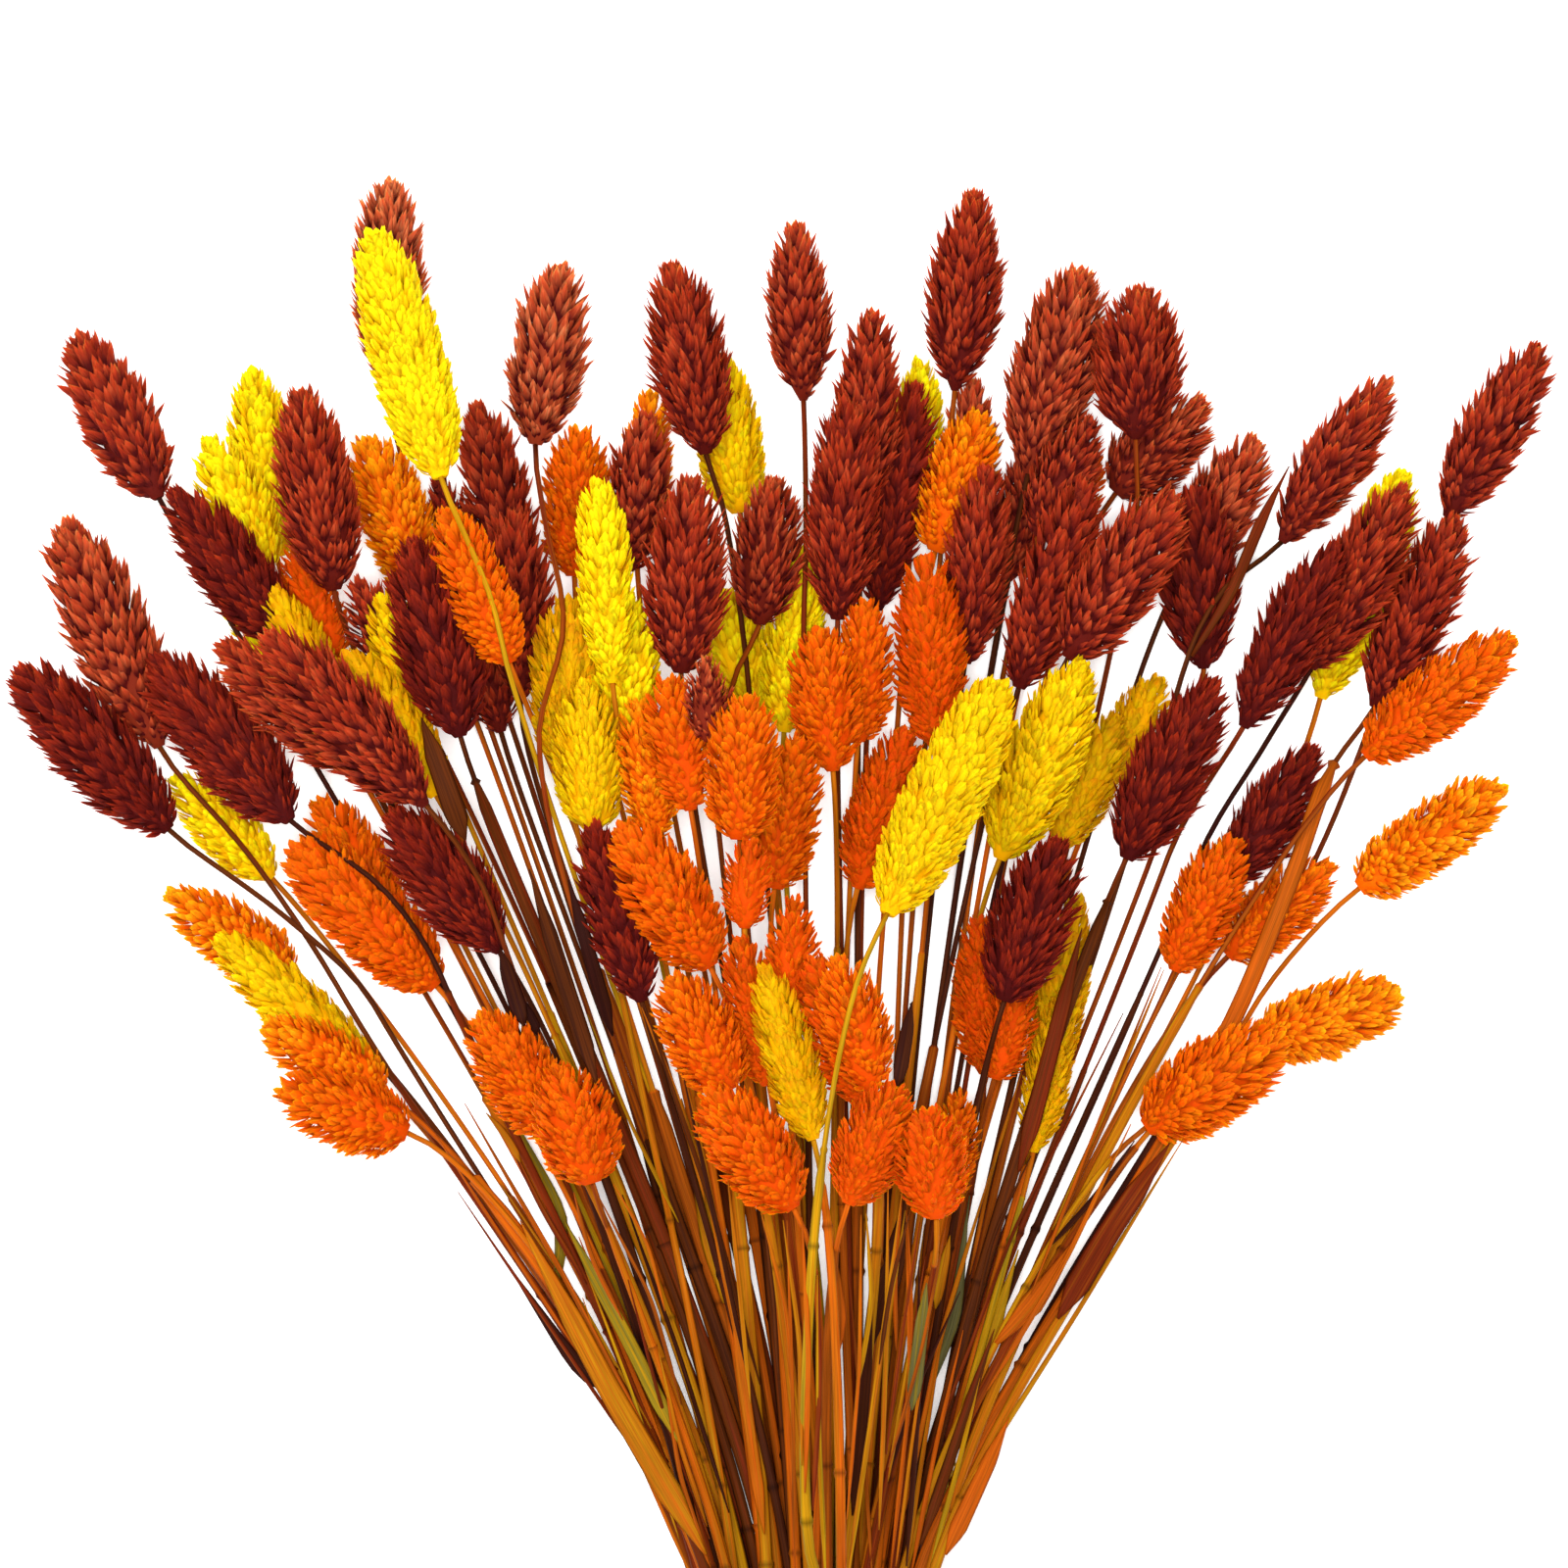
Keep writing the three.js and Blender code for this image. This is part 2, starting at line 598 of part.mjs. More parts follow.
// The level direction across a stem at one of its corners.
function sideAt(corners, k) {
  const before = corners[Math.max(k - 1, 0)];
  const after = corners[Math.min(k + 1, corners.length - 1)];
  const length = Math.hypot(after.x - before.x, after.y - before.y);
  return [-(after.y - before.y) / length, (after.x - before.x) / length];
}

// A point of a head: part is its way along the head, radius a part of the half width, and round a
// part of a turn.
function addHeadPoint(surface, head, part, radius, round) {
  const angle = FIRST_SCALE_ANGLE + 2 * Math.PI * round;
  const across = head.half * radius * Math.cos(angle);
  const up = head.half * radius * HEAD_THICKNESS_RATIO * Math.sin(angle);
  const x = mix(head.base.x, head.tip.x, part) + head.side[0] * across;
  const y = mix(head.base.y, head.tip.y, part) + head.side[1] * across;
  return addPoint(surface, x, y, mix(head.base.z, head.tip.z, part) + up);
}

// The head: rows of lozenges on its core, each drawn out to the free tip of a scale.
function addHead(surface, head, neckRing) {
  const rows = head.length < SHORT_HEAD_LENGTH ? SHORT_HEAD_ROWS : SCALE_ROWS;
  const partOf = (row) => mix(CORE_START, CORE_END, row / (rows + 1));
  const rings = [];
  for (let row = 0; row <= rows + 1; row += 1) {
    const radius = headRadiusRatio(partOf(row)) * CORE_RATIO;
    rings.push([]);
    for (let k = 0; k < SCALE_COLUMNS; k += 1) {
      rings[row].push(addHeadPoint(surface, head, partOf(row), radius, (k + row / 2) / SCALE_COLUMNS));
    }
  }
  const at = (row, k) => rings[row][(k + SCALE_COLUMNS) % SCALE_COLUMNS];
  const apex = addHeadPoint(surface, head, 1, 0, 0);
  addBand(surface, neckRing, rings[0]);
  for (let k = 0; k < SCALE_COLUMNS; k += 1) {
    surface.triangles.push(at(1, k), at(0, k), at(0, k + 1));
    surface.triangles.push(at(rows + 1, k), at(rows, k + 1), at(rows + 1, k + 1));
    surface.triangles.push(at(rows + 1, k), at(rows + 1, k + 1), apex);
    for (let row = 0; row < rows; row += 1) {
      const foot = at(row, k);
      const right = at(row + 1, k);
      const left = at(row + 1, k - 1);
      const top = at(row + 2, k - 1);
      const tipPart = mix(partOf(row + 1), partOf(row + 2), SCALE_LEAN);
      const tipTurn = (k + row / 2) / SCALE_COLUMNS;
      const tip = addHeadPoint(surface, head, tipPart, headRadiusRatio(tipPart), tipTurn);
      surface.triangles.push(tip, foot, right, tip, right, top, tip, top, left, tip, left, foot);
    }
  }
}

// A whole stem with its head. Its tail reaches down into the tail of the stem below it in the spray.
function strandSurface(strand, below) {
  const { corners, stem } = strand;
  const surface = { points: [], triangles: [] };
  const neck = corners.length - 2;
  const bottom = below ? below.corners[0].z + TAIL_HALF - TAIL_SINK : Infinity;
  const side = [-stem.axis[1], stem.axis[0]];
  let ring = addStemRing(surface, corners[0], [-1, 0], bottom);
  surface.triangles.push(ring[0], ring[3], ring[2], ring[0], ring[2], ring[1]);
  const extend = (next) => {
    addBand(surface, ring, next);
    ring = next;
  };
  for (let k = 1; k <= neck; k += 1) {
    extend(addStemRing(surface, corners[k], k === neck ? side : sideAt(corners, k), Infinity));
  }
  const [base, tip] = [corners[neck], corners[neck + 1]];
  const head = { base, tip, half: stem.headHalf, length: stem.headLength, side };
  addHead(surface, head, ring);
  return surface;
}

// A leaf: a flat strip from its root ring to a pointed tip.
function leafSurface(leaf) {
  const { corners } = leaf;
  const surface = { points: [], triangles: [] };
  let ring = addStemRing(surface, corners[0], sideAt(corners, 0), Infinity);
  surface.triangles.push(ring[0], ring[3], ring[2], ring[0], ring[2], ring[1]);
  for (let k = 1; k < corners.length - 1; k += 1) {
    const next = addStemRing(surface, corners[k], sideAt(corners, k), Infinity);
    addBand(surface, ring, next);
    ring = next;
  }
  const end = corners[corners.length - 1];
  const low = addPoint(surface, end.x, end.y, end.z - end.thick);
  const high = addPoint(surface, end.x, end.y, end.z + end.thick);
  surface.triangles.push(ring[0], ring[1], low, ring[1], ring[2], high, ring[1], high, low);
  surface.triangles.push(ring[2], ring[3], high, ring[3], ring[0], low, ring[3], low, high);
  return surface;
}

function solidFrom(positions, indices) {
  const vertProperties = new Float32Array(positions);
  const triVerts = new Uint32Array(indices);
  return new wasm.Manifold(new wasm.Mesh({ numProp: 3, vertProperties, triVerts }));
}

// A slab under the surface that the bunch lies on, which presses its lowest parts flat.
function slabBelow() {
  const box = new THREE.BoxGeometry(SLAB_SIZE, SLAB_SIZE, SLAB_DEPTH);
  box.translate(0, SLAB_MIDDLE_Y, -SLAB_DEPTH / 2);
  box.deleteAttribute('normal');
  box.deleteAttribute('uv');
  const merged = mergeVertices(box);
  return solidFrom(merged.attributes.position.array, merged.index.array);
}

function meshFrom(solid, name, colour) {
  const { vertProperties, triVerts } = solid.getMesh();
  const geometry = new THREE.BufferGeometry();
  geometry.setAttribute('position', new THREE.BufferAttribute(vertProperties, 3));
  geometry.setIndex(new THREE.BufferAttribute(triVerts, 1));
  geometry.computeVertexNormals();
  const material = new THREE.MeshStandardMaterial({ color: colour, roughness: DRY_ROUGHNESS, metalness: 0 });
  const mesh = new THREE.Mesh(geometry, material);
  mesh.name = name;
  return mesh;
}

// The origin is under the lowest stem of its column, where the bunch rests on the surface.
const bunch = new THREE.Group();
bunch.position.x = -columnPlace(ORIGIN_COLUMN);
const slab = slabBelow();
const sprayCount = { red: 0, orange: 0, yellow: 0 };
for (const spray of layOut()) {
  let solid = null;
  spray.strands.forEach((strand, n) => {
    const surfaces = [strandSurface(strand, spray.strands[n - 1]), ...strand.leaves.map(leafSurface)];
    for (const { points, triangles } of surfaces) {
      const piece = solidFrom(points, triangles);
      solid = solid ? solid.add(piece) : piece;
    }
  });
  solid = solid.subtract(slab);
  sprayCount[spray.dye] += 1;
  const number = String(sprayCount[spray.dye]).padStart(2, '0');
  bunch.add(meshFrom(solid, `${spray.dye}_spray_${number}`, DYES[spray.dye]));
}

export default bunch;
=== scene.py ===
import math

import bpy
import numpy as np
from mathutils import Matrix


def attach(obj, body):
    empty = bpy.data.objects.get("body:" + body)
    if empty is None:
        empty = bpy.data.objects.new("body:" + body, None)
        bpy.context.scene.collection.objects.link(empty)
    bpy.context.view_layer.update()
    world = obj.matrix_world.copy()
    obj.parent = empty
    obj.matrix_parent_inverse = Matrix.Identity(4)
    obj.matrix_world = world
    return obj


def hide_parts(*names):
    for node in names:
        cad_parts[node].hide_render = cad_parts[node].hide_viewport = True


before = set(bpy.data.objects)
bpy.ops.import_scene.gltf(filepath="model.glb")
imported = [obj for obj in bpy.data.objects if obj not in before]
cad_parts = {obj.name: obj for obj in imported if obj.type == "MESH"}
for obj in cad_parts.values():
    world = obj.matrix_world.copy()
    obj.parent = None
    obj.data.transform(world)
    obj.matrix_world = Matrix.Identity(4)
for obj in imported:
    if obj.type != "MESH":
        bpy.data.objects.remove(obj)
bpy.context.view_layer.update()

# Dried canary grass: a bunch of dyed seed heads on cut stems, laid down on a pale surface.
# The tables and the layout are in millimetres, and the meshes and the scene in metres.
# X runs across the fan, Y from the waist of the bunch towards the heads, and Z is up.
MM = 0.001

# Waist: the stems lie side by side in columns and in levels, each in a cell of this pitch.
COLUMN_COUNT = 15
CELL_PITCH = 2.95
ORIGIN_COLUMN = 8
TAIL_HALF = 1.2
SECOND_TAIL_HALF = 1.13
TAIL_LENGTH = 84
TAIL_UNEVENNESS = 12

# Stem: a leaf sheath wraps its lower part, and a thin bare stalk carries the head.
STALK_HALF = 0.55
SHEATH_HALF_THICKNESS = 0.7
SHEATH_WIDTH_MIN = 1.5
SHEATH_WIDTH_MAX = 2.9
SHEATH_TOP_MIN = 82
SHEATH_TOP_MAX = 152
SHEATH_MOUTH = 7
SHEATH_TO_HEAD_MIN = 9
SHEATH_START = 30
SHEATH_START_BLEND = 0.6
SHEATH_MOUTH_SHARE = 0.9
CURVE_STEPS = 60
LONG_STALK = 75
LONG_STALK_SPLIT = 0.55
LONG_SHEATH = 104
LONG_SHEATH_SPLIT = 0.5
BEND_SPACING = 8

# Fan: every stem drapes over the ones below it, and bends no more sharply than these slopes allow.
SLOPE_MAX = 1
HEAD_SLOPE_MAX = 0.5
DRAPE_ROUNDS = 40
FAN_START = 11
WAIST_LEAN = 0.2
WAIST_PULL = 0.75
HEAD_PULL = 0.55
HEAD_PULL_MAX = 75
FLOOR_PRESS = 0.93
GAP = 0.34
SAMPLE_STEP = 1.6
HEAD_SAMPLES = 14
COLUMN_SHIFTS = (0, -1, 1, -2, 2)
SHIFT_COST = 4
COST_TIE = 1e-6

# Numbers by chance: a wave of large steps for the stem and for the use that the number has.
CHANCE_STEM_STEP = 12.9898
CHANCE_USE_STEP = 78.233
CHANCE_SCALE = 43758.5453
CHANCE_USES = {
    "sheath width": 1, "sheath top": 2, "tail end": 3, "stalk tint": 4, "base": 5, "tone": 6,
    "fineness": 7, "tip": 8, "first joint": 9, "second joint": 10, "sheath tint": 11,
}

# Head: the radii of its outline are parts of the half width.
HEAD_PROFILE = (
    (0, 0.3), (0.06, 0.62), (0.18, 0.92), (0.35, 1), (0.55, 0.95), (0.75, 0.8), (0.9, 0.5), (1, 0.05),
)
HEAD_WIDTH_SHARE = 0.84
HEAD_THICKNESS_RATIO = 0.7

# Leaf blades and torn sheaths are flat strips that leave a stem of their spray.
BLADE_HALF_THICKNESS = 0.35
BLADE_ROOT_SHARE = 0.7
BLADE_FREE_START = 7
BLADE_SLOPE_MAX = 0.3

# Each spray is its dye, its stems, stuck together at their cut ends, from the lowest to the highest,
# and then its leaves.
# A stem is (head base x, base y, tip x, tip y, head width), seen from above. Where its sheath stands
# out on the real one, [sheath width, distance of its mouth from the waist] follows, or else None, and
# where its way to the head is plain to see, the x and y of points that it passes.
# A leaf is (number of its stem in the spray, distance of its root from the waist, width, then the
# x and y of the points that it passes, up to its tip).
SPRAYS = (
    ("red", [(-87, 270, -87, 313, 15), (-71, 230, -77, 252, 13)]),
    ("yellow", [(-110, 236, -115, 274, 15), (-112, 232, -124, 260, 15), (-103, 208, -121, 235, 14)]),
    ("orange", [(-98, 212, -106, 238, 12), (-79, 228, -92, 260, 15)]),
    ("red", [(-134, 248, -151, 281, 16), (-108, 219, -131, 249, 16)]),
    ("red", [(-98, 229, -105, 270, 17), (-82, 208, -94, 231, 13)]),
    ("yellow", [(-80, 205, -88, 228, 13), (-98, 202, -110, 229, 12), (-77, 187, -95, 216, 15)]),
    ("red", [(-64, 200, -72, 230, 13), (-72, 199, -82, 239, 18, [3, 205])]),
    ("red", [(-60, 226, -69, 267, 14, [2.8, 180]), (-60, 206, -61, 245, 15)]),
    ("orange", [(-62, 214, -75, 245, 13), (-49, 232, -48, 262, 14), (-36, 238, -33, 270, 11)]),
    ("yellow", [(-76, 252, -90, 302, 16, None, [-62, 212], [-66, 228]),
        (-50, 192, -50, 227, 16, [3.2, 120])]),
    ("red", [(-57, 259, -52, 296, 16, None, [-48, 160], [-56, 198], [-51, 222], [-55, 244]),
        (-38, 233, -34, 265, 14)]),
    ("yellow", [(-38, 197, -38, 228, 14, [3.2, 130]), (-41, 210, -44, 251, 12)]),
    ("yellow", [(-15, 245, -20, 277, 14), (-12, 200, -18, 229, 15)]),
    ("red", [(-22, 257, -29, 296, 16, None, [-13, 207], [-18, 244]), (-27, 212, -25, 252, 17)]),
    ("yellow", [(-6, 200, -2, 237, 13), (20, 240, 22, 276, 12)]),
    ("red", [(-11, 222, -8, 252, 15, None, [-17, 207]),
        (-2, 268, -4, 304, 14, None, [-2, 219], [-1.5, 240])]),
    ("red", [(13, 225, 21, 271, 13), (10, 247, 12, 286, 14), (5, 223, 7, 268, 15)]),
    ("red", [(31, 236, 33, 272, 12), (29, 270, 33, 311, 16)]),
    ("orange", [(25, 237, 34, 265, 14), (50, 238, 58, 256, 10)]),
    ("red", [(40, 231, 46, 259, 13), (44, 253, 55, 295, 18)]),
    ("red", [(46, 240, 57, 264, 14), (62, 249, 80, 268, 17)]),
    ("red", [(66, 260, 67, 291, 19, None, [66, 242]), (74, 229, 91, 260, 16)]),
    ("red", [(31, 214, 36, 254, 14), (42, 209, 56, 251, 15)]),
    ("red", [(80, 213, 78, 250, 17), (52, 215, 74, 249, 17)]),
    ("yellow", [(104, 207, 121, 253, 14, None, [101, 197])]),
    ("red", [(96, 239, 118, 272, 14, None, [75, 210], [83, 228]), (130, 244, 149, 279, 15, None, [104, 176])],
        (0, 212, 2.4, 86, 229, 91.5, 243, 97.5, 254.5)),
    ("red", [(102, 213, 121, 250, 16, None, [79, 174], [93, 198]), (88, 201, 107, 238, 14, None, [73, 175])]),
    ("orange", [(9, 198, 11, 227, 13), (4, 192, 1, 221, 15)]),
    ("orange", [(25, 197, 23, 236, 15), (9, 168, 19, 200, 14)]),
    ("orange", [(-32, 178, -36, 206, 12), (-25, 184, -30, 211, 13)], (0, 68, 6, -20, 95, -27, 125)),
    ("yellow", [(-45, 180, -47, 210, 15)]),
    ("red", [(-21, 198, -22, 215, 10), (-35, 145, -45, 181, 14)]),
    ("orange", [(-8, 168, -3, 199, 14), (-15, 178, -14, 207, 15)]),
    ("orange", [(-14, 160, -13, 178, 10), (-21, 152, -39, 181, 17)]),
    ("yellow", [(60, 190, 71, 211, 12), (50, 176, 62, 203, 13), (38, 174, 55, 214, 17)]),
    ("yellow", [(47, 126, 54, 166, 12), (45, 114, 51, 146, 10)], (1, 50, 4, 36, 75, 42, 94)),
    ("orange", [(35, 130, 34, 162, 12), (37, 129, 43, 150, 11)]),
    ("red", [(64, 174, 82, 211, 17, [2.8, 178]), (39, 145, 50, 178, 17)], (1, 54, 3.2, 29, 80, 32, 105)),
    ("red", [(85, 169, 103, 197, 14)]),
    ("orange", [(85, 154, 106, 173, 14), (74, 151, 86, 178, 14)]),
    ("red", [(115, 205, 132, 244, 15, [3.8, 205], [85, 139], [98, 170], [106, 192])]),
    ("orange", [(113, 195, 143, 219, 15), (112, 168, 141, 189, 14, None, [90, 143])]),
    ("orange", [(90, 136, 120, 146, 15), (68, 119, 96, 138, 18)], (1, 68, 5, 45, 83, 55, 98)),
    ("orange", [(-107, 150, -132, 167, 14)]),
    ("yellow", [(-111, 170, -131, 191, 13), (-89, 128, -122, 158, 13)], (1, 80, 3.2, -51, 100, -62, 122)),
    ("red", [(-134, 197, -154, 243, 18, None, [-97, 147], [-115, 174]),
        (-132, 180, -163, 213, 17, None, [-90, 144], [-108, 162])]),
    ("red", [(-92, 192, -121, 218, 15), (-64, 155, -86, 184, 17)]),
    ("orange", [(-86, 158, -101, 186, 15), (-77, 148, -106, 177, 17)]),
    ("red", [(-79, 185, -112, 220, 18, None, [-66, 165]),
        (-107, 182, -135, 215, 18, None, [-76, 150], [-88, 168])], (1, 55, 3.6, -47, 68, -64, 93)),
    ("orange", [(-88, 126, -112, 140, 14, [3.6, 112]), (-83, 118, -109, 127, 16)]),
    ("orange", [(-52, 118, -68, 142, 16), (-45, 108, -52, 132, 17)]),
    ("orange", [(-9, 128, -15, 158, 12), (-5, 142, -4, 166, 11)]),
    ("orange", [(11, 124, 0, 154, 14), (12, 127, 5, 154, 14)], (1, 60, 5.4, 16, 90, 19, 106)),
    ("orange", [(-17, 127, -29, 150, 16), (-4, 103, -21, 127, 17)]),
    ("orange", [(7, 104, 17, 128, 15)], (0, 58, 4.6, 5, 80, 3.5, 99)),
    ("orange", [(27, 104, 30, 126, 10), (25, 101, 23, 123, 15)]),
    ("yellow", [(0, 117, -10, 152, 12),
        (15, 163, 38, 210, 17, None, [-1, 35], [-1, 80], [2.5, 118], [8.5, 148])]),
)


def mix(a, b, part):
    return a + (b - a) * part


def clamp(value, low, high):
    return min(high, max(low, value))


def chance(stem_number, use):
    """A repeatable number from 0 to 1 for each stem and use."""
    wave = math.sin(stem_number * CHANCE_STEM_STEP + CHANCE_USES[use] * CHANCE_USE_STEP) * CHANCE_SCALE
    return wave - math.floor(wave)


def head_radius_ratio(part):
    return np.interp(part, [row[0] for row in HEAD_PROFILE], [row[1] for row in HEAD_PROFILE])


def scaled_radius_ratio(head, part):
    """The outline of a head with its scales: each end is anything from slender to full."""
    places, slender, full = zip(*SCALED_PROFILE)
    fullness = np.where(part < 0.5, head["base_fullness"], head["tip_fullness"])
    return mix(np.interp(part, places, slender), np.interp(part, places, full), fullness)


def scale_size(head, part, key):
    return np.interp(part, SCALE_PLACES, head["form"][key])


def read_stem(row, stem_number):
    """Reads one stem of the table and gives it the sizes that the table leaves out."""
    base_x, base_y, tip_x, tip_y, width = row[:5]
    sheath = row[5] if len(row) > 5 else None
    length = math.hypot(tip_x - base_x, tip_y - base_y)
    width_by_chance = mix(SHEATH_WIDTH_MIN, SHEATH_WIDTH_MAX, chance(stem_number, "sheath width")**2)
    top_by_chance = mix(SHEATH_TOP_MIN, SHEATH_TOP_MAX, chance(stem_number, "sheath top"))
    return {
        "number": stem_number,
        "base": (base_x, base_y),
        "tip": (tip_x, tip_y),
        "via": row[6:],
        "axis": ((tip_x - base_x) / length, (tip_y - base_y) / length),
        "head_length": length,
        "full_half": width / 2,
        "head_half": width / 2 * HEAD_WIDTH_SHARE,
        "sheath_half": (sheath[0] if sheath else width_by_chance) / 2,
        "sheath_top": sheath[1] if sheath else top_by_chance,
        "tail_end": -TAIL_LENGTH - TAIL_UNEVENNESS * (chance(stem_number, "tail end") - 0.5),
        "fan_angle": math.atan2(base_x, base_y),
    }


def plan_curve(stem, column_x):
    """Plan of a stem from its column at the waist to its head, by way of its own points: x, y and
    path length of each point of the curve, and the path lengths of its own points."""
    knots = np.array([(column_x, FAN_START), *stem["via"], stem["base"]], dtype=float)
    last = len(knots) - 1
    xs, ys = [np.array([column_x])], [np.array([float(FAN_START)])]
    directions = []
    for k in range(last):
        dx, dy = knots[k + 1] - knots[max(k - 1, 0)]
        angle = math.atan2(dx, dy) * (WAIST_LEAN if k == 0 else 1)
        directions.append((math.sin(angle), math.cos(angle)))
    directions.append(stem["axis"])
    u = np.arange(1, CURVE_STEPS + 1) / CURVE_STEPS
    for k in range(last):
        reach = math.dist(knots[k], knots[k + 1])
        start_pull = reach * (WAIST_PULL if k == 0 else 1)
        end_pull = min(reach * HEAD_PULL, HEAD_PULL_MAX) if k == last - 1 else reach
        h00 = 2 * u**3 - 3 * u**2 + 1
        h10 = (u**3 - 2 * u**2 + u) * start_pull
        h01 = -2 * u**3 + 3 * u**2
        h11 = (u**3 - u**2) * end_pull
        for i, places in enumerate((xs, ys)):
            places.append(h00 * knots[k][i] + h10 * directions[k][i]
                          + h01 * knots[k + 1][i] + h11 * directions[k + 1][i])
    x, y = np.concatenate(xs), np.concatenate(ys)
    path = np.concatenate(([0], np.cumsum(np.hypot(np.diff(x), np.diff(y)))))
    return {"x": x, "y": y, "path": path, "bends": path[CURVE_STEPS:-1:CURVE_STEPS]}


def corner_rows(stem, curve, column_x, tail_half):
    """The corner points of a stem and its head, as rows of x, y, half width, half thickness and path."""
    total = curve["path"][-1]
    mouth_top = min(stem["sheath_top"], total - SHEATH_TO_HEAD_MIN)
    mouth_foot = mouth_top - SHEATH_MOUTH
    sheath_half = stem["sheath_half"]
    start_half = mix(TAIL_HALF, sheath_half, SHEATH_START_BLEND)
    rows = [(column_x, stem["tail_end"], tail_half, TAIL_HALF, stem["tail_end"])]

    def add(path, half, thick):
        x = np.interp(path, curve["path"], curve["x"])
        y = np.interp(path, curve["path"], curve["y"])
        rows.append((x, y, half, thick, path))

    add(0, tail_half, TAIL_HALF)
    add(SHEATH_START, start_half, SHEATH_HALF_THICKNESS)
    if mouth_foot > LONG_SHEATH:
        add(mix(SHEATH_START, mouth_foot, LONG_SHEATH_SPLIT), sheath_half, SHEATH_HALF_THICKNESS)
    add(mouth_foot, sheath_half * SHEATH_MOUTH_SHARE, SHEATH_HALF_THICKNESS)
    add(mouth_top, STALK_HALF, STALK_HALF)
    bends = list(curve["bends"])
    if not bends and total - mouth_top > LONG_STALK:
        bends.append(mix(mouth_top, total, LONG_STALK_SPLIT))
    for path in bends:
        if rows[-1][4] + BEND_SPACING < path < total - BEND_SPACING:
            add(path, STALK_HALF, STALK_HALF)
    add(total, STALK_HALF, STALK_HALF)
    rows.append((stem["tip"][0], stem["tip"][1], 0, 0, total + stem["head_length"]))
    return np.array(rows)


def samples_of(corners, head_half):
    """Dense points between the corners of a stem and along its head, with their lowest heights."""
    parts = {key: [] for key in ("x", "y", "half", "thick", "head", "path", "segment", "part", "floor")}
    last = len(corners) - 1
    for k in range(1, last + 1):
        a = corners[k - 1]
        b = corners[k]
        is_head = head_half > 0 and k == last
        steps = HEAD_SAMPLES if is_head else max(1, math.ceil((b[4] - a[4]) / SAMPLE_STEP))
        part = (np.arange(steps) + (1 if is_head else 0)) / steps
        if is_head:
            half = head_half * head_radius_ratio(part)
            thick = half * HEAD_THICKNESS_RATIO
            floor = thick * FLOOR_PRESS
        else:
            half = mix(a[2], b[2], part)
            thick = mix(a[3], b[3], part)
            floor = thick
        row = {
            "x": mix(a[0], b[0], part),
            "y": mix(a[1], b[1], part),
            "half": half,
            "thick": thick,
            "head": np.full(steps, is_head),
            "path": mix(a[4], b[4], part),
            "segment": np.full(steps, k),
            "part": part,
            "floor": floor,
        }
        for key, values in row.items():
            parts[key].append(values)
    return {key: np.concatenate(values) for key, values in parts.items()}


def raise_floor(samples, placed):
    """Raises the floor of every sample to what it needs above the samples of the placed stems."""
    if not placed:
        return
    reach = samples["half"].max() + GAP
    keys = ("x", "y", "half", "thick", "head", "z")
    near = []
    for other in placed:
        margin = reach + other["half"].max()
        apart_x = max(other["x"].min() - samples["x"].max(), samples["x"].min() - other["x"].max())
        apart_y = max(other["y"].min() - samples["y"].max(), samples["y"].min() - other["y"].max())
        if apart_x < margin and apart_y < margin:
            near.append(other)
    if not near:
        return
    b = {key: np.concatenate([other[key] for other in near])[None, :] for key in keys}
    a = {key: samples[key][:, None] for key in keys if key != "z"}
    across = a["half"] + b["half"] + GAP
    distance = np.hypot(a["x"] - b["x"], a["y"] - b["y"])
    apart = a["thick"] + b["thick"] + GAP
    flat = np.where(a["head"], 0, a["half"]) + np.where(b["head"], 0, b["half"])
    sideways = np.clip((distance - flat) / (across - flat), 0, 1)
    rounded = apart * np.sqrt(1 - sideways**2)
    need = np.where(a["head"] | b["head"], rounded, apart)
    needed_floor = np.where((distance < across) & (need > 0), b["z"] + need, -np.inf)
    samples["floor"] = np.maximum(samples["floor"], needed_floor.max(axis=1))


def drape(corners, samples):
    """The heights of the corners of a stem that drapes over its floor. No corner rises past the
    highest floor beside it, so that stems in many layers add their thickness and no more."""
    last = len(corners) - 1
    rows = list(zip(samples["segment"].tolist(), samples["part"].tolist(), samples["floor"].tolist()))
    ceiling = [0.0] * (last + 1)
    for segment, _, floor in rows:
        ceiling[segment - 1] = max(ceiling[segment - 1], floor)
        ceiling[segment] = max(ceiling[segment], floor)
    least = [0.0] * (last + 1)
    for segment, part, floor in rows:
        if segment == 1:
            least[0] = max(least[0], floor)
        elif part < 1:
            least[segment - 1] = max(least[segment - 1], (floor - part * ceiling[segment]) / (1 - part))
    climb = [0.0] * (last + 1)
    for k in range(1, last + 1):
        slope = HEAD_SLOPE_MAX if k == last else SLOPE_MAX
        climb[k] = (corners[k][4] - corners[k - 1][4]) * slope
    z = list(least)
    for _ in range(DRAPE_ROUNDS):
        z = list(least)
        z[0] = z[1] = max(least[0], least[1])
        for segment, part, floor in rows:
            if part == 0 and segment > 2:
                z[segment - 1] = max(z[segment - 1], z[segment - 2] - climb[segment - 1])
            if segment > 1 and part > 0:
                z[segment] = max(z[segment], (floor - (1 - part) * z[segment - 1]) / part)
        z[last] = max(z[last], z[last - 1] - climb[last])
        for k in range(last, 1, -1):
            least[k - 1] = max(least[k - 1], z[k] - climb[k])
    return np.array(z)


def set_heights(samples, heights):
    segment = samples["segment"]
    samples["z"] = mix(heights[segment - 1], heights[segment], samples["part"])


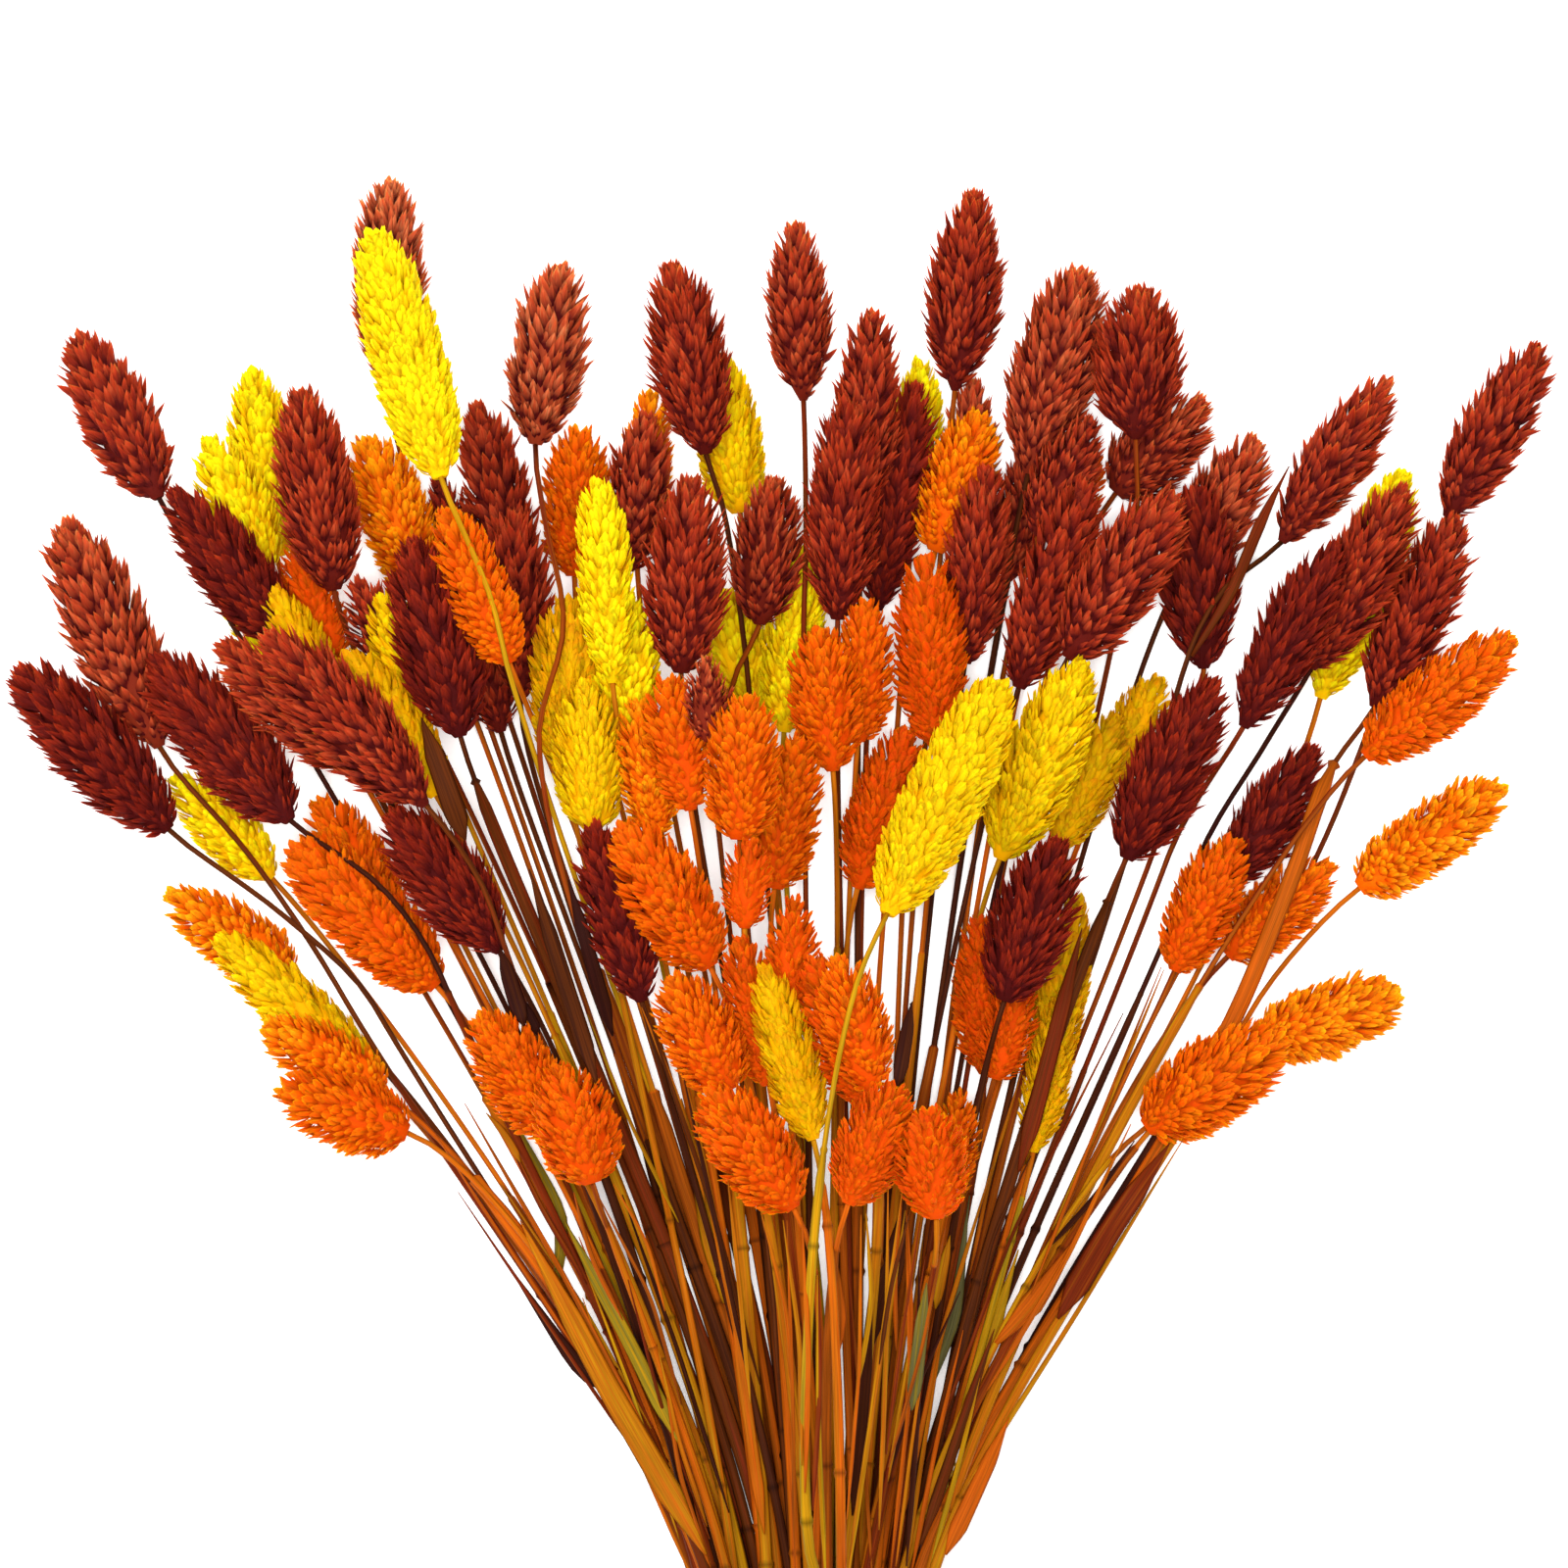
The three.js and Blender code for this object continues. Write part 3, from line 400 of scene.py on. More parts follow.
def leaf_of(strand, row, placed):
    """A leaf that leaves a stem inside its sheath and then drapes over the placed stems."""
    root_path, width = row[0], row[1]
    places = row[2:]
    stem_samples = strand["samples"]
    root = int(np.argmax(stem_samples["path"] >= root_path))
    thick = BLADE_HALF_THICKNESS
    corners = [(stem_samples["x"][root], stem_samples["y"][root],
                stem_samples["half"][root] * BLADE_ROOT_SHARE, thick, 0.0)]
    for k in range(0, len(places), 2):
        before = corners[-1]
        x, y = places[k], places[k + 1]
        is_tip = k == len(places) - 2
        path = before[4] + math.hypot(x - before[0], y - before[1])
        corners.append((x, y, 0 if is_tip else width / 2, thick, path))
    corners = np.array(corners)
    samples = samples_of(corners, 0)
    free = samples["path"] > BLADE_FREE_START
    samples = {key: values[free] for key, values in samples.items()}
    raise_floor(samples, placed)
    heights = [stem_samples["z"][root]]
    for k in range(1, len(corners)):
        run = corners[k][4] - corners[k - 1][4]
        own = (samples["segment"] == k) & (samples["part"] > 0)
        part = samples["part"][own]
        needs = (samples["floor"][own] - (1 - part) * heights[k - 1]) / part
        heights.append(max([thick, heights[k - 1] - BLADE_SLOPE_MAX * run, *needs]))
    heights = np.array(heights)
    set_heights(samples, heights)
    return {"corners": corners, "samples": samples, "heights": heights}


def column_place(column):
    return (column - (COLUMN_COUNT - 1) / 2) * CELL_PITCH


def column_of(wanted, waist_tops):
    """The column of a spray: near its place in the fan, and where the waist is lowest."""
    nearest = int(clamp(math.floor(wanted + 0.5), 0, COLUMN_COUNT - 1))
    best = nearest
    best_cost = math.inf
    for shift in COLUMN_SHIFTS:
        column = int(clamp(nearest + shift, 0, COLUMN_COUNT - 1))
        cost = waist_tops[column] + SHIFT_COST * abs(column - nearest)
        if cost < best_cost - COST_TIE:
            best = column
            best_cost = cost
    return best


def lay_out():
    """Gives every spray its column at the waist, and every stem its heights, from the lowest up."""
    sprays = []
    stem_number = 0
    for dye, stem_rows, *leaves in SPRAYS:
        stems = []
        for stem_row in stem_rows:
            stem_number += 1
            stems.append(read_stem(stem_row, stem_number))
        sprays.append({"dye": dye, "leaves": leaves, "stems": stems})
    all_stems = [stem for spray in sprays for stem in spray["stems"]]
    by_angle = sorted(all_stems, key=lambda stem: stem["fan_angle"])
    for rank, stem in enumerate(by_angle):
        stem["wanted_column"] = (rank + 0.5) / len(by_angle) * COLUMN_COUNT - 0.5
    waist_tops = [0.0] * COLUMN_COUNT
    placed = []
    for spray in sprays:
        wanted = sum(stem["wanted_column"] for stem in spray["stems"]) / len(spray["stems"])
        column = column_of(wanted, waist_tops)
        column_x = column_place(column)
        spray["strands"] = []
        for n, stem in enumerate(spray["stems"]):
            curve = plan_curve(stem, column_x)
            corners = corner_rows(stem, curve, column_x, TAIL_HALF if n % 2 == 0 else SECOND_TAIL_HALF)
            samples = samples_of(corners, stem["head_half"])
            raise_floor(samples, placed)
            heights = drape(corners, samples)
            set_heights(samples, heights)
            strand = {"stem": stem, "curve": curve, "corners": corners, "samples": samples,
                      "heights": heights}
            own_leaves = [leaf[1:] for leaf in spray["leaves"] if leaf[0] == n]
            strand["leaves"] = [leaf_of(strand, leaf, placed) for leaf in own_leaves]
            placed.append(samples)
            placed.extend(leaf["samples"] for leaf in strand["leaves"])
            spray["strands"].append(strand)
        waist_tops[column] = spray["strands"][-1]["heights"][0] + TAIL_HALF
    return sprays


# Head: keeled, pointed scales overlap on a slim core, in loose tufts. Its outline runs from the base
# to the tip: place, then the radius as a part of the half width, for slender and for full heads.
SCALED_PROFILE = (
    (0, 0.12, 0.34), (0.06, 0.36, 0.66), (0.18, 0.7, 0.94), (0.35, 0.96, 1.0), (0.5, 1.0, 1.0),
    (0.65, 0.94, 0.98), (0.8, 0.78, 0.9), (0.9, 0.6, 0.76), (0.96, 0.44, 0.6), (1, 0.3, 0.42),
)
SCALE_PLACES = (0.0, 0.1, 0.3, 0.55, 0.8, 1.0)
HEAD_FORMS = {
    "red": {
        "base": (0.0, 0.6), "tip": (0.0, 0.8), "ragged": 1.3, "keel": 0.3, "curl": -0.06,
        "leans": (58, 47, 37, 32, 27, 16),
        "lengths": (3.2, 4.4, 5.4, 6.0, 6.4, 6.2),
        "widths": (1.3, 1.6, 1.9, 2.0, 2.2, 2.1),
        "spacings": (1.3, 1.42, 1.62, 1.72, 1.85, 1.9),
        "rings": ((0.2, 0.72), (0.48, 1.0), (0.78, 0.56)),
    },
    "orange": {
        "base": (0.45, 1.0), "tip": (0.2, 1.0), "ragged": 1.1, "keel": 0.26, "curl": -0.06,
        "leans": (70, 64, 53, 42, 31, 18),
        "lengths": (2.8, 3.4, 4.0, 4.5, 5.4, 5.8),
        "widths": (1.5, 1.8, 2.0, 2.1, 2.3, 2.2),
        "spacings": (1.2, 1.3, 1.42, 1.5, 1.65, 1.75),
        "rings": ((0.2, 0.66), (0.55, 1.0), (0.84, 0.72)),
    },
    "yellow": {
        "base": (0.3, 0.9), "tip": (0.2, 1.0), "ragged": 0.7, "keel": 0.18, "curl": -0.12,
        "leans": (58, 48, 41, 35, 28, 18),
        "lengths": (2.8, 3.6, 4.2, 4.7, 5.4, 5.8),
        "widths": (1.5, 1.9, 2.1, 2.2, 2.4, 2.3),
        "spacings": (1.2, 1.3, 1.45, 1.55, 1.7, 1.75),
        "rings": ((0.2, 0.66), (0.55, 1.0), (0.84, 0.72)),
    },
}
FINENESS = (0.88, 1.1)
OUTLINE_MARGIN = 0.35
SCALE_START = 0.015
SCALE_END = 0.94
SPIRAL_STEPS = 200
LEAN_SPREAD = 5
YAW_SPREAD = 0.1
ROLL_SPREAD = 0.28
LENGTH_SPREAD = 0.2
CURL_SPREAD = 0.06
WIDTH_RANGE = (0.8, 1.2)
KEEL_RANGE = (0.7, 1.3)
AHEAD_MIN = 0.2
SCALE_LENGTH_MIN = 1.6
PLACE_SPREAD = 0.012
TURN_SPREAD = 0.15
TUFT_SPACING = 4.6
TUFT_PULL = 0.25
TUFT_REACH = 7.0
TUFT_LEAN_SPREAD = 7
TUFT_YAW_SPREAD = 0.2
TUFT_RISE = 0.1
TUFT_NEARNESS = 1.4
TUFT_SHADE_SHARE = 0.4
DEEP_HEADS = {
    6, 9, 13, 14, 16, 23, 36, 42, 51, 57, 60, 61, 66, 69, 71, 72, 74, 75, 76, 77, 78, 79, 80, 92, 94, 98,
    103, 104, 105, 109, 111, 112,
}
LIGHT_HEADS = {
    3, 4, 5, 21, 22, 25, 26, 27, 29, 32, 34, 35, 39, 41, 43, 44, 46, 48, 53, 62, 65, 85, 86, 88, 89, 91, 99,
}
PALE_HEADS = {1, 7, 24, 33}
DEEP_TONES = (0.0, 0.12)
USUAL_TONES = (0.36, 0.56)
LIGHT_TONES = {"red": (0.62, 0.8), "orange": (0.84, 1.0), "yellow": (0.84, 1.0)}
GOLDEN_TURN = math.pi * (3 - math.sqrt(5))
THICKNESS_RATIO = 0.64
UNDERSIDE_TURN = -0.5
UNDERSIDE_SHARE = 0.35
CORE_SIDES = 10
CORE_RINGS = 9
CORE_END = 0.86
CORE_RADIUS_MIN = 0.35
CORE_SHARE = 0.7
# Where the core sits on the fade of the painted root shade: it is mostly painted shade.
CORE_SHADE_DEPTHS = (0.3, 0.62)
CORE_SHADE = 0.3
CORE_PLACE = 0.5
TIP_REACH = 0.8
TIP_SPREAD = 1.1
USUAL_HEAD_HALF = 8
USUAL_HEAD_LENGTH = 38
LENGTH_SHARE_OF_SIZE = 0.6
SIZE_RANGE = (0.6, 1.04)
FLOOR_CLEARANCE = 0.15

# Stem: rings of points in millimetres. Every culm has joints, the sheath ends in an open mouth, and
# the cut end is hollow.
STEM_SIDES = 8
STEM_STEP = 5.0
SMOOTH_ROUNDS = 3
JOINT_SWELL = 1.32
JOINT_HALF_LENGTH = 1.1
JOINT_FIRST = (18, 46)
JOINT_SECOND = (62, 96)
MOUTH_EDGE = 0.7
MOUTH_SHARE = 0.78
CUT_RIM = 0.62
CUT_HOLLOW = 0.42
CUT_DEPTH = 1.2
HOLLOW_PALENESS = 0.25
LEAF_STEP = 3
LEAF_POINTS_MIN = 6
LEAF_END_HALF = 0.15
STRIP_STEP = 2.0
STRIP_POINTS_MIN = 4
STRIP_PLAN_ROUNDS = 6
STRIP_HOLD_SHARE = 0.6
STRIP_SPREAD = 2
STRIP_SLOPE_MAX = 0.4
STRIP_END_HALF = 0.1
STRIP_OUTLINE = ((0, 0.18, 0.7, 1), (0.08, 1, 0.85, 0))

# Colour of a stem, from 0 for dark brown over orange to 1 for olive.
STALK_TINTS = {"red": (0.02, 0.5), "orange": (0.36, 0.7), "yellow": (0.56, 0.84)}
SHEATH_TINTS = {"red": (0.04, 0.54), "orange": (0.18, 0.74), "yellow": (0.42, 0.86)}
KNOWN_TINTS = {113: 0.83}
LEAF_TINTS = (0.3, 0.74, 0.82, 1.0, 0.6, 0.92, 0.02, 0.14, 0.52)

# Torn sheaths and dry blades that lie loose on the others: width, tint, then the x and y of the points
# that each passes.
LOOSE_BLADES = (
    (5, 0.34, 50, 80, 60, 97, 73, 116), (3.5, 0.3, 42, 110, 49, 136, 55, 160), (3, 0.05, 17, 128, 20, 145),
    (3, 0.98, 20, 62, 23, 88), (5, 0.7, -22, 32, -42, 66, -60, 100), (3.5, 0.56, 27, 32, 34, 47, 40, 60),
    (2, 0.74, 25, 82, 28, 97), (3.5, 0.04, -59, 140, -64, 156), (3.5, 0.14, -44, 128, -58, 172),
    (3, 0.02, -41, 138, -50, 170), (4.6, 0.2, -71, 178, -80, 203), (2.5, 0.0, -56, 138, -60, 146),
    (1.4, 0.72, -60, 112, -62, 117, -67, 122), (3, 0.9, -27, 54, -38, 76, -51, 100),
    (2.6, 0.1, 8, 40, 12, 84), (2.4, 0.64, -10, 36, -17, 86), (2.2, 0.24, 22, 34, 37, 78),
)
STRIP_NUMBER = 200
OWNER_TESTS = (3, 2)
FIBRE_SEED = 5
FIBRE_COUNT = 80
FIBRE_FLATNESS = 0.7
FIBRE_START = (14, 96)
FIBRE_LENGTH = (32, 105)
FIBRE_LENGTH_MIN = 22
FIBRE_HALF = (0.26, 0.5)
FIBRE_TURN = 0.07
FIBRE_BOW = 1.3
FIBRE_LOOK_AHEAD = 20
FIBRE_TINTS = (0.05, 0.2, 0.34, 0.46, 0.5, 0.54, 0.58, 0.62, 0.66, 0.7, 0.74, 0.8)
FIBRE_HEAD_CLEARANCE = 1.0

RAIL_END = -1
HEAD_SLOT = 0
STEM_SLOT = 1

SHIFT_X = -column_place(ORIGIN_COLUMN)


# Materials of the heads: name, painted shade for the roots of the scales, where they lie deep between
# the others, colours from the darkest to the palest scale, and how far light spreads in them.
HEAD_DYES = {
    "red": ("dark_red_scales", "#440b0a", (
        (0.0, "#4c0d08"), (0.22, "#661407"), (0.4, "#88220c"), (0.55, "#9e3014"), (0.8, "#b44a26"),
        (1.0, "#cc7042")), 0.001),
    "orange": ("orange_scales", "#c64200", (
        (0.0, "#a82a00"), (0.22, "#bc3600"), (0.45, "#d64e00"), (0.65, "#e26000"), (0.8, "#ee7c02"),
        (1.0, "#f68e0a")), 0.0025),
    "yellow": ("yellow_scales", "#de9e00", (
        (0.0, "#c46e00"), (0.22, "#d08000"), (0.45, "#e2a400"), (0.65, "#ecbe02"), (0.8, "#f8d604"),
        (1.0, "#fcde0a")), 0.0025),
}
HEAD_ROUGHNESS = 0.75
HEAD_GLOSS = 0.04
GLOW_WEIGHT = 0.6
GLOW_RADIUS = (1.0, 0.5, 0.25)
VEIN_STRETCH = (2.6, 0.4, 3.7)
PATCH_SCALE = 200
HEAD_NOISE_DETAIL = 2
VEIN_SHARE = 0.6
SHADE_SHARE = 0.28
PATCH_SHARE = 0.16
TONE_SHARE = 0.56
# Painted shade on each scale: full at its root, fading out between these parts of its length.
ROOT_SHADE_END = 0.3
SHADE_FREE_START = 0.85
BUMP_STRENGTH = 0.4
HEAD_BUMP_DEPTH = 0.0002

# Material of the stems: colours from dark brown over orange and amber to olive, in streaks, darker on
# the old sheaths near the waist and at the joints.
STEM_STOPS = (
    (0.0, "#3a150e"), (0.12, "#4a200b"), (0.24, "#6a300a"), (0.34, "#80280a"), (0.46, "#a4500a"),
    (0.58, "#d8600a"), (0.7, "#c4700a"), (0.82, "#cc940a"), (0.92, "#9c841c"), (1.0, "#6e683c"),
)
PITH = "#b48a4c"
STEM_ROUGHNESS = 0.6
STEM_GLOSS = 0.03
STREAK_STRETCHES = ((0.02, 1.1), (0.06, 3.6))
STREAK_SCALE = 1.4
STREAK_DETAIL = 3
STREAK_SHARE = 0.4
FINE_SHARE = 0.9
LEAST_LIGHT = 0.16
JOINT_SHADE = 0.55
OLD_SHEATH_END = 20
NEW_SHEATH_START = 95
OLD_SHEATH_SHARE = 0.8
STEM_BUMP_DEPTH = 0.0003

# The photograph's frame, and the studio: places in metres, powers in watts.
VIEW_CENTRE = (-0.00895, 0.1894, 0.045)
VIEW_WIDTH = 0.320
VIEW_DISTANCE = 8.0
SENSOR_WIDTH = 36.0
LIGHTS = {"front": ((-0.01, 0.19, 3.2), 0.7, 100), "key": ((-1.1, 1.0, 2.6), 1.0, 75)}
SKY_STRENGTH = 0.8
FLOOR_HALF = 4.0
FLOOR_ROUGHNESS = 0.9
FLOOR_GLOSS = 0.2
FLOOR_NOISE_SCALE = 40
FLOOR_NOISE_DETAIL = 2
FLOOR_STOPS = ((0.0, "#f4f3f1"), (1.0, "#f8f7f5"))
FLOOR_GLOW = 0.3
WHITE = (1, 1, 1, 1)


class Surface:
    """Collects the points, triangles and values of one piece. A rail is a line of points along which
    the faces meet in a sharp edge."""

    def __init__(self):
        self.points = []
        self.triangles = []
        self.marks = []
        self.grain = []
        self.rails = []
        self.slots = []
        self.count = 0

    def add(self, points, triangles, marks, slot, grain=(0, 0, 0), rails=0):
        points = np.asarray(points, dtype=float)
        triangles = np.asarray(triangles, dtype=np.int64)
        self.points.append(points)
        self.triangles.append(triangles + self.count)
        self.marks.append(np.broadcast_to(np.asarray(marks, dtype=float), (len(points), 4)))
        self.grain.append(np.broadcast_to(np.asarray(grain, dtype=float), (len(points), 3)))
        self.rails.append(np.broadcast_to(np.asarray(rails), (len(points),)))
        self.slots.append(np.full(len(triangles), slot))
        self.count += len(points)


def smooth(values, rounds):
    """The values with each drawn towards its neighbours, and with both ends kept."""
    values = values.copy()
    for _ in range(rounds):
        values[1:-1] = (values[:-2] + 2 * values[1:-1] + values[2:]) / 4
    return values


def tube_triangles(rings, sides):
    """Triangles of a tube of rings with a fan of triangles over each end."""
    triangles = []
    for k in range(rings - 1):
        for n in range(sides):
            a = k * sides + n
            b = k * sides + (n + 1) % sides
            triangles.append((a, b, b + sides))
            triangles.append((a, b + sides, a + sides))
    for n in range(1, sides - 1):
        triangles.append((0, n + 1, n))
        top = (rings - 1) * sides
        triangles.append((top, top + n, top + n + 1))
    return triangles


def head_frame(strand):
    """Base, tip, side and up directions of a head, in millimetres."""
    corners, heights = strand["corners"], strand["heights"]
    base = np.array([corners[-2][0], corners[-2][1], heights[-2]])
    tip = np.array([corners[-1][0], corners[-1][1], heights[-1]])
    axis = (tip - base) / np.linalg.norm(tip - base)
    side = np.array([axis[1], -axis[0], 0.0])
    side /= np.linalg.norm(side)
    up = np.cross(side, axis)
    return base, tip, axis, side, up


def spiral(head, spacing, rng):
    """Points spread evenly over a head on a golden spiral: their parts of its length and their turns."""
    steps = np.linspace(SCALE_START, SCALE_END, SPIRAL_STEPS)
    girth = scaled_radius_ratio(head, steps) * head["half"] * math.pi * (1 + THICKNESS_RATIO)
    density = girth * head["length"] / spacing(steps)**2
    total = np.concatenate(([0], np.cumsum((density[1:] + density[:-1]) / 2 * np.diff(steps))))
    count = int(total[-1])
    place = np.interp((np.arange(count) + 0.5) / count * total[-1], total, steps)
    place = np.clip(place + rng.normal(0, PLACE_SPREAD, count), SCALE_START, SCALE_END)
    turn = (np.arange(count) * GOLDEN_TURN + rng.normal(0, TURN_SPREAD, count)) % (2 * math.pi)
    return place, turn


def root_of(head, place, turn, least_share=0.0):
    """Places inside a head, from which scales of the usual length and lean reach its outline."""
    lean = np.radians(scale_size(head, place, "leans"))
    reach = scale_size(head, place, "lengths") * head["size"]
    end = np.minimum(place + reach * np.cos(lean) / head["length"], 1)
    outline = scaled_radius_ratio(head, end) * head["half"]
    radius = np.maximum(outline - reach * np.sin(lean), CORE_RADIUS_MIN)
    least = scaled_radius_ratio(head, place) * head["half"] * least_share * (1 - place**3)
    radius = np.maximum(radius, least)
    across = (radius * np.cos(turn))[..., None]
    rise = (radius * np.sin(turn) * THICKNESS_RATIO)[..., None]
    along = (place * head["length"])[..., None]
    return head["base"] + head["axis"] * along + head["side"] * across + head["up"] * rise


def directions_of(head, place, turn, lean_turn, yaw):
    """Directions that lean out from the axis of a head, with the way straight out of it."""
    out = head["side"] * np.cos(turn)[:, None] + head["up"] * np.sin(turn)[:, None] * THICKNESS_RATIO
    tangent = np.cross(head["axis"], out)
    lean = np.radians(scale_size(head, place, "leans") + lean_turn)[:, None]
    direction = head["axis"] * np.cos(lean) + out * np.sin(lean) + tangent * yaw[:, None]
    return direction / np.linalg.norm(direction, axis=1)[:, None], out


def add_core(surface, head, tone):
    """The stem of a head inside its scales, as thick as their roots."""
    place = np.linspace(0, CORE_END, CORE_RINGS)
    turn = np.linspace(0, 2 * math.pi, CORE_SIDES, endpoint=False)
    points = root_of(head, place[:, None] + 0 * turn, turn[None, :] + 0 * place[:, None], CORE_SHARE)
    triangles = tube_triangles(CORE_RINGS, CORE_SIDES)
    # The core takes the painted shade of the scale roots, deeper on heads of deeper tone.
    marks = (CORE_SHADE, mix(*CORE_SHADE_DEPTHS, tone**2), CORE_PLACE, tone)
    surface.add(points.reshape(-1, 3), triangles, marks, HEAD_SLOT)


def scale_triangles(ring_count):
    """Triangles of one scale: its root, its rings of three points and its tip."""
    tip = 1 + 3 * ring_count
    triangles = []
    for n in range(3):
        m = (n + 1) % 3
        triangles.append((0, 1 + m, 1 + n))
        for k in range(ring_count - 1):
            a = 1 + 3 * k
            triangles.append((a + n, a + m, a + 3 + m))
            triangles.append((a + n, a + 3 + m, a + 3 + n))
        triangles.append((tip - 3 + n, tip - 3 + m, tip))
    return np.array(triangles)


def add_scales(surface, scales, rings, tone):
    """Closed scales, each with two edges and a keel that run together in a point at both ends."""
    root, direction, wide, keel = (scales[key] for key in ("root", "direction", "wide", "keel"))
    length, half_wide, keel_high, curl = (
        scales[key][:, None] for key in ("length", "half_wide", "keel_high", "curl"))
    columns = [root]
    along = [0.0]
    across = [0.0]
    rails = [RAIL_END]
    for place, share in rings:
        centre = root + direction * length * place + keel * curl * place**2
        columns.append(centre - wide * half_wide * share)
        columns.append(centre + keel * keel_high * share)
        columns.append(centre + wide * half_wide * share)
        along += [place] * 3
        across += [-share, 0, share]
        rails += [1, 2, 3]
    columns.append(root + direction * length + keel * curl)
    along.append(1.0)
    across.append(0.0)
    rails.append(RAIL_END)
    points = np.stack(columns, axis=1)
    count = len(root)
    marks = np.empty((count, len(columns), 4))
    marks[..., 0] = scales["shade"][:, None]
    marks[..., 1] = np.array(along)[None, :]
    marks[..., 2] = scales["place"][:, None]
    marks[..., 3] = tone
    grain = np.empty((count, len(columns), 3))
    grain[..., 0] = half_wide * np.array(across)[None, :]
    grain[..., 1] = length * np.array(along)[None, :]
    grain[..., 2] = np.arange(count)[:, None]
    starts = (np.arange(count) * len(columns))[:, None, None]
    triangles = (scale_triangles(len(rings))[None, :, :] + starts).reshape(-1, 3)
    surface.add(points.reshape(-1, 3), triangles, marks.reshape(-1, 4), HEAD_SLOT,
                grain.reshape(-1, 3), np.tile(rails, count))


def head_tone(number, dye):
    """How pale the dye of a head came out, from 0 for deep to 1 for pale."""
    if number in PALE_HEADS:
        return 1.0
    tones = USUAL_TONES
    if number in DEEP_HEADS:
        tones = DEEP_TONES
    if number in LIGHT_HEADS:
        tones = LIGHT_TONES[dye]
    return mix(*tones, chance(number, "tone"))


def add_head(surface, strand, dye, rng):
    """A head: a slim core and keeled scales whose points run together in small tufts."""
    base, tip, axis, side, up = head_frame(strand)
    form = HEAD_FORMS[dye]
    half = strand["stem"]["full_half"] + OUTLINE_MARGIN
    head_length = np.linalg.norm(tip - base)
    size = mix(half / USUAL_HEAD_HALF, head_length / USUAL_HEAD_LENGTH, LENGTH_SHARE_OF_SIZE)
    size = clamp(size, *SIZE_RANGE)
    number = strand["stem"]["number"]
    fineness = mix(*FINENESS, chance(number, "fineness"))
    head = {"base": base, "axis": axis, "side": side, "up": up, "half": half, "size": size, "form": form,
            "length": head_length,
            "base_fullness": mix(*form["base"], chance(number, "base")),
            "tip_fullness": mix(*form["tip"], chance(number, "tip"))}
    ragged = form["ragged"]
    tone = head_tone(number, dye)
    add_core(surface, head, tone)

    tuft_place, tuft_turn = spiral(head, lambda part: np.full_like(part, TUFT_SPACING), rng)
    tuft_count = len(tuft_place)
    tuft_root = root_of(head, tuft_place, tuft_turn)
    tuft_way, _ = directions_of(head, tuft_place, tuft_turn,
                                rng.normal(0, TUFT_LEAN_SPREAD * ragged, tuft_count),
                                rng.normal(0, TUFT_YAW_SPREAD * ragged, tuft_count))
    tuft_shade = rng.random(tuft_count)

    place, turn = spiral(head, lambda part: scale_size(head, part, "spacings") * fineness, rng)
    kept = (np.sin(turn) > UNDERSIDE_TURN) | (rng.random(len(turn)) < UNDERSIDE_SHARE)
    place, turn = place[kept], turn[kept]
    count = len(place)
    root = root_of(head, place, turn)
    direction, out = directions_of(head, place, turn, rng.normal(0, LEAN_SPREAD * ragged, count),
                                   rng.normal(0, YAW_SPREAD * ragged, count))
    distance = np.linalg.norm(root[:, None, :] - tuft_root[None, :, :], axis=2)
    own = distance.argmin(axis=1)
    nearness = np.clip(1 - distance.min(axis=1) / TUFT_SPACING * TUFT_NEARNESS, 0, 1)
    to_tuft = tuft_root[own] + tuft_way[own] * TUFT_REACH - root
    to_tuft /= np.linalg.norm(to_tuft, axis=1)[:, None]
    direction = mix(direction, to_tuft, TUFT_PULL)
    direction /= np.linalg.norm(direction, axis=1)[:, None]
    wide = np.cross(direction, out)
    wide /= np.linalg.norm(wide, axis=1)[:, None]
    keel = np.cross(wide, direction)
    roll = rng.normal(0, ROLL_SPREAD, count)[:, None]
    wide, keel = wide * np.cos(roll) + keel * np.sin(roll), keel * np.cos(roll) - wide * np.sin(roll)

    spread = LENGTH_SPREAD * ragged
    length = scale_size(head, place, "lengths") * size * rng.uniform(1 - spread, 1 + spread, count)
    length *= 1 - TUFT_RISE / 2 + TUFT_RISE * nearness
    ahead = np.maximum(direction @ axis, AHEAD_MIN)
    left = head_length * (1 - place) + TIP_REACH + rng.uniform(-TIP_SPREAD, TIP_SPREAD, count)
    length = np.minimum(length, np.maximum(left * ahead, SCALE_LENGTH_MIN))
    half_wide = scale_size(head, place, "widths") / 2 * size * fineness * rng.uniform(*WIDTH_RANGE, count)
    scales = {
        "root": root, "direction": direction, "wide": wide, "keel": keel, "length": length,
        "half_wide": half_wide,
        "keel_high": half_wide * 2 * form["keel"] * rng.uniform(*KEEL_RANGE, count),
        "curl": length * rng.normal(form["curl"], CURL_SPREAD * ragged, count), "place": place,
        "shade": mix(rng.random(count), tuft_shade[own], TUFT_SHADE_SHARE),
    }
    add_scales(surface, scales, form["rings"], tone)


def joints_of(number, mouth):
    """Places of the joints of a culm, as far as its sheath reaches."""
    places = [mix(*JOINT_FIRST, chance(number, "first joint")),
              mix(*JOINT_SECOND, chance(number, "second joint"))]
    return [place for place in places if place < mouth - 2 * MOUTH_EDGE - JOINT_HALF_LENGTH]


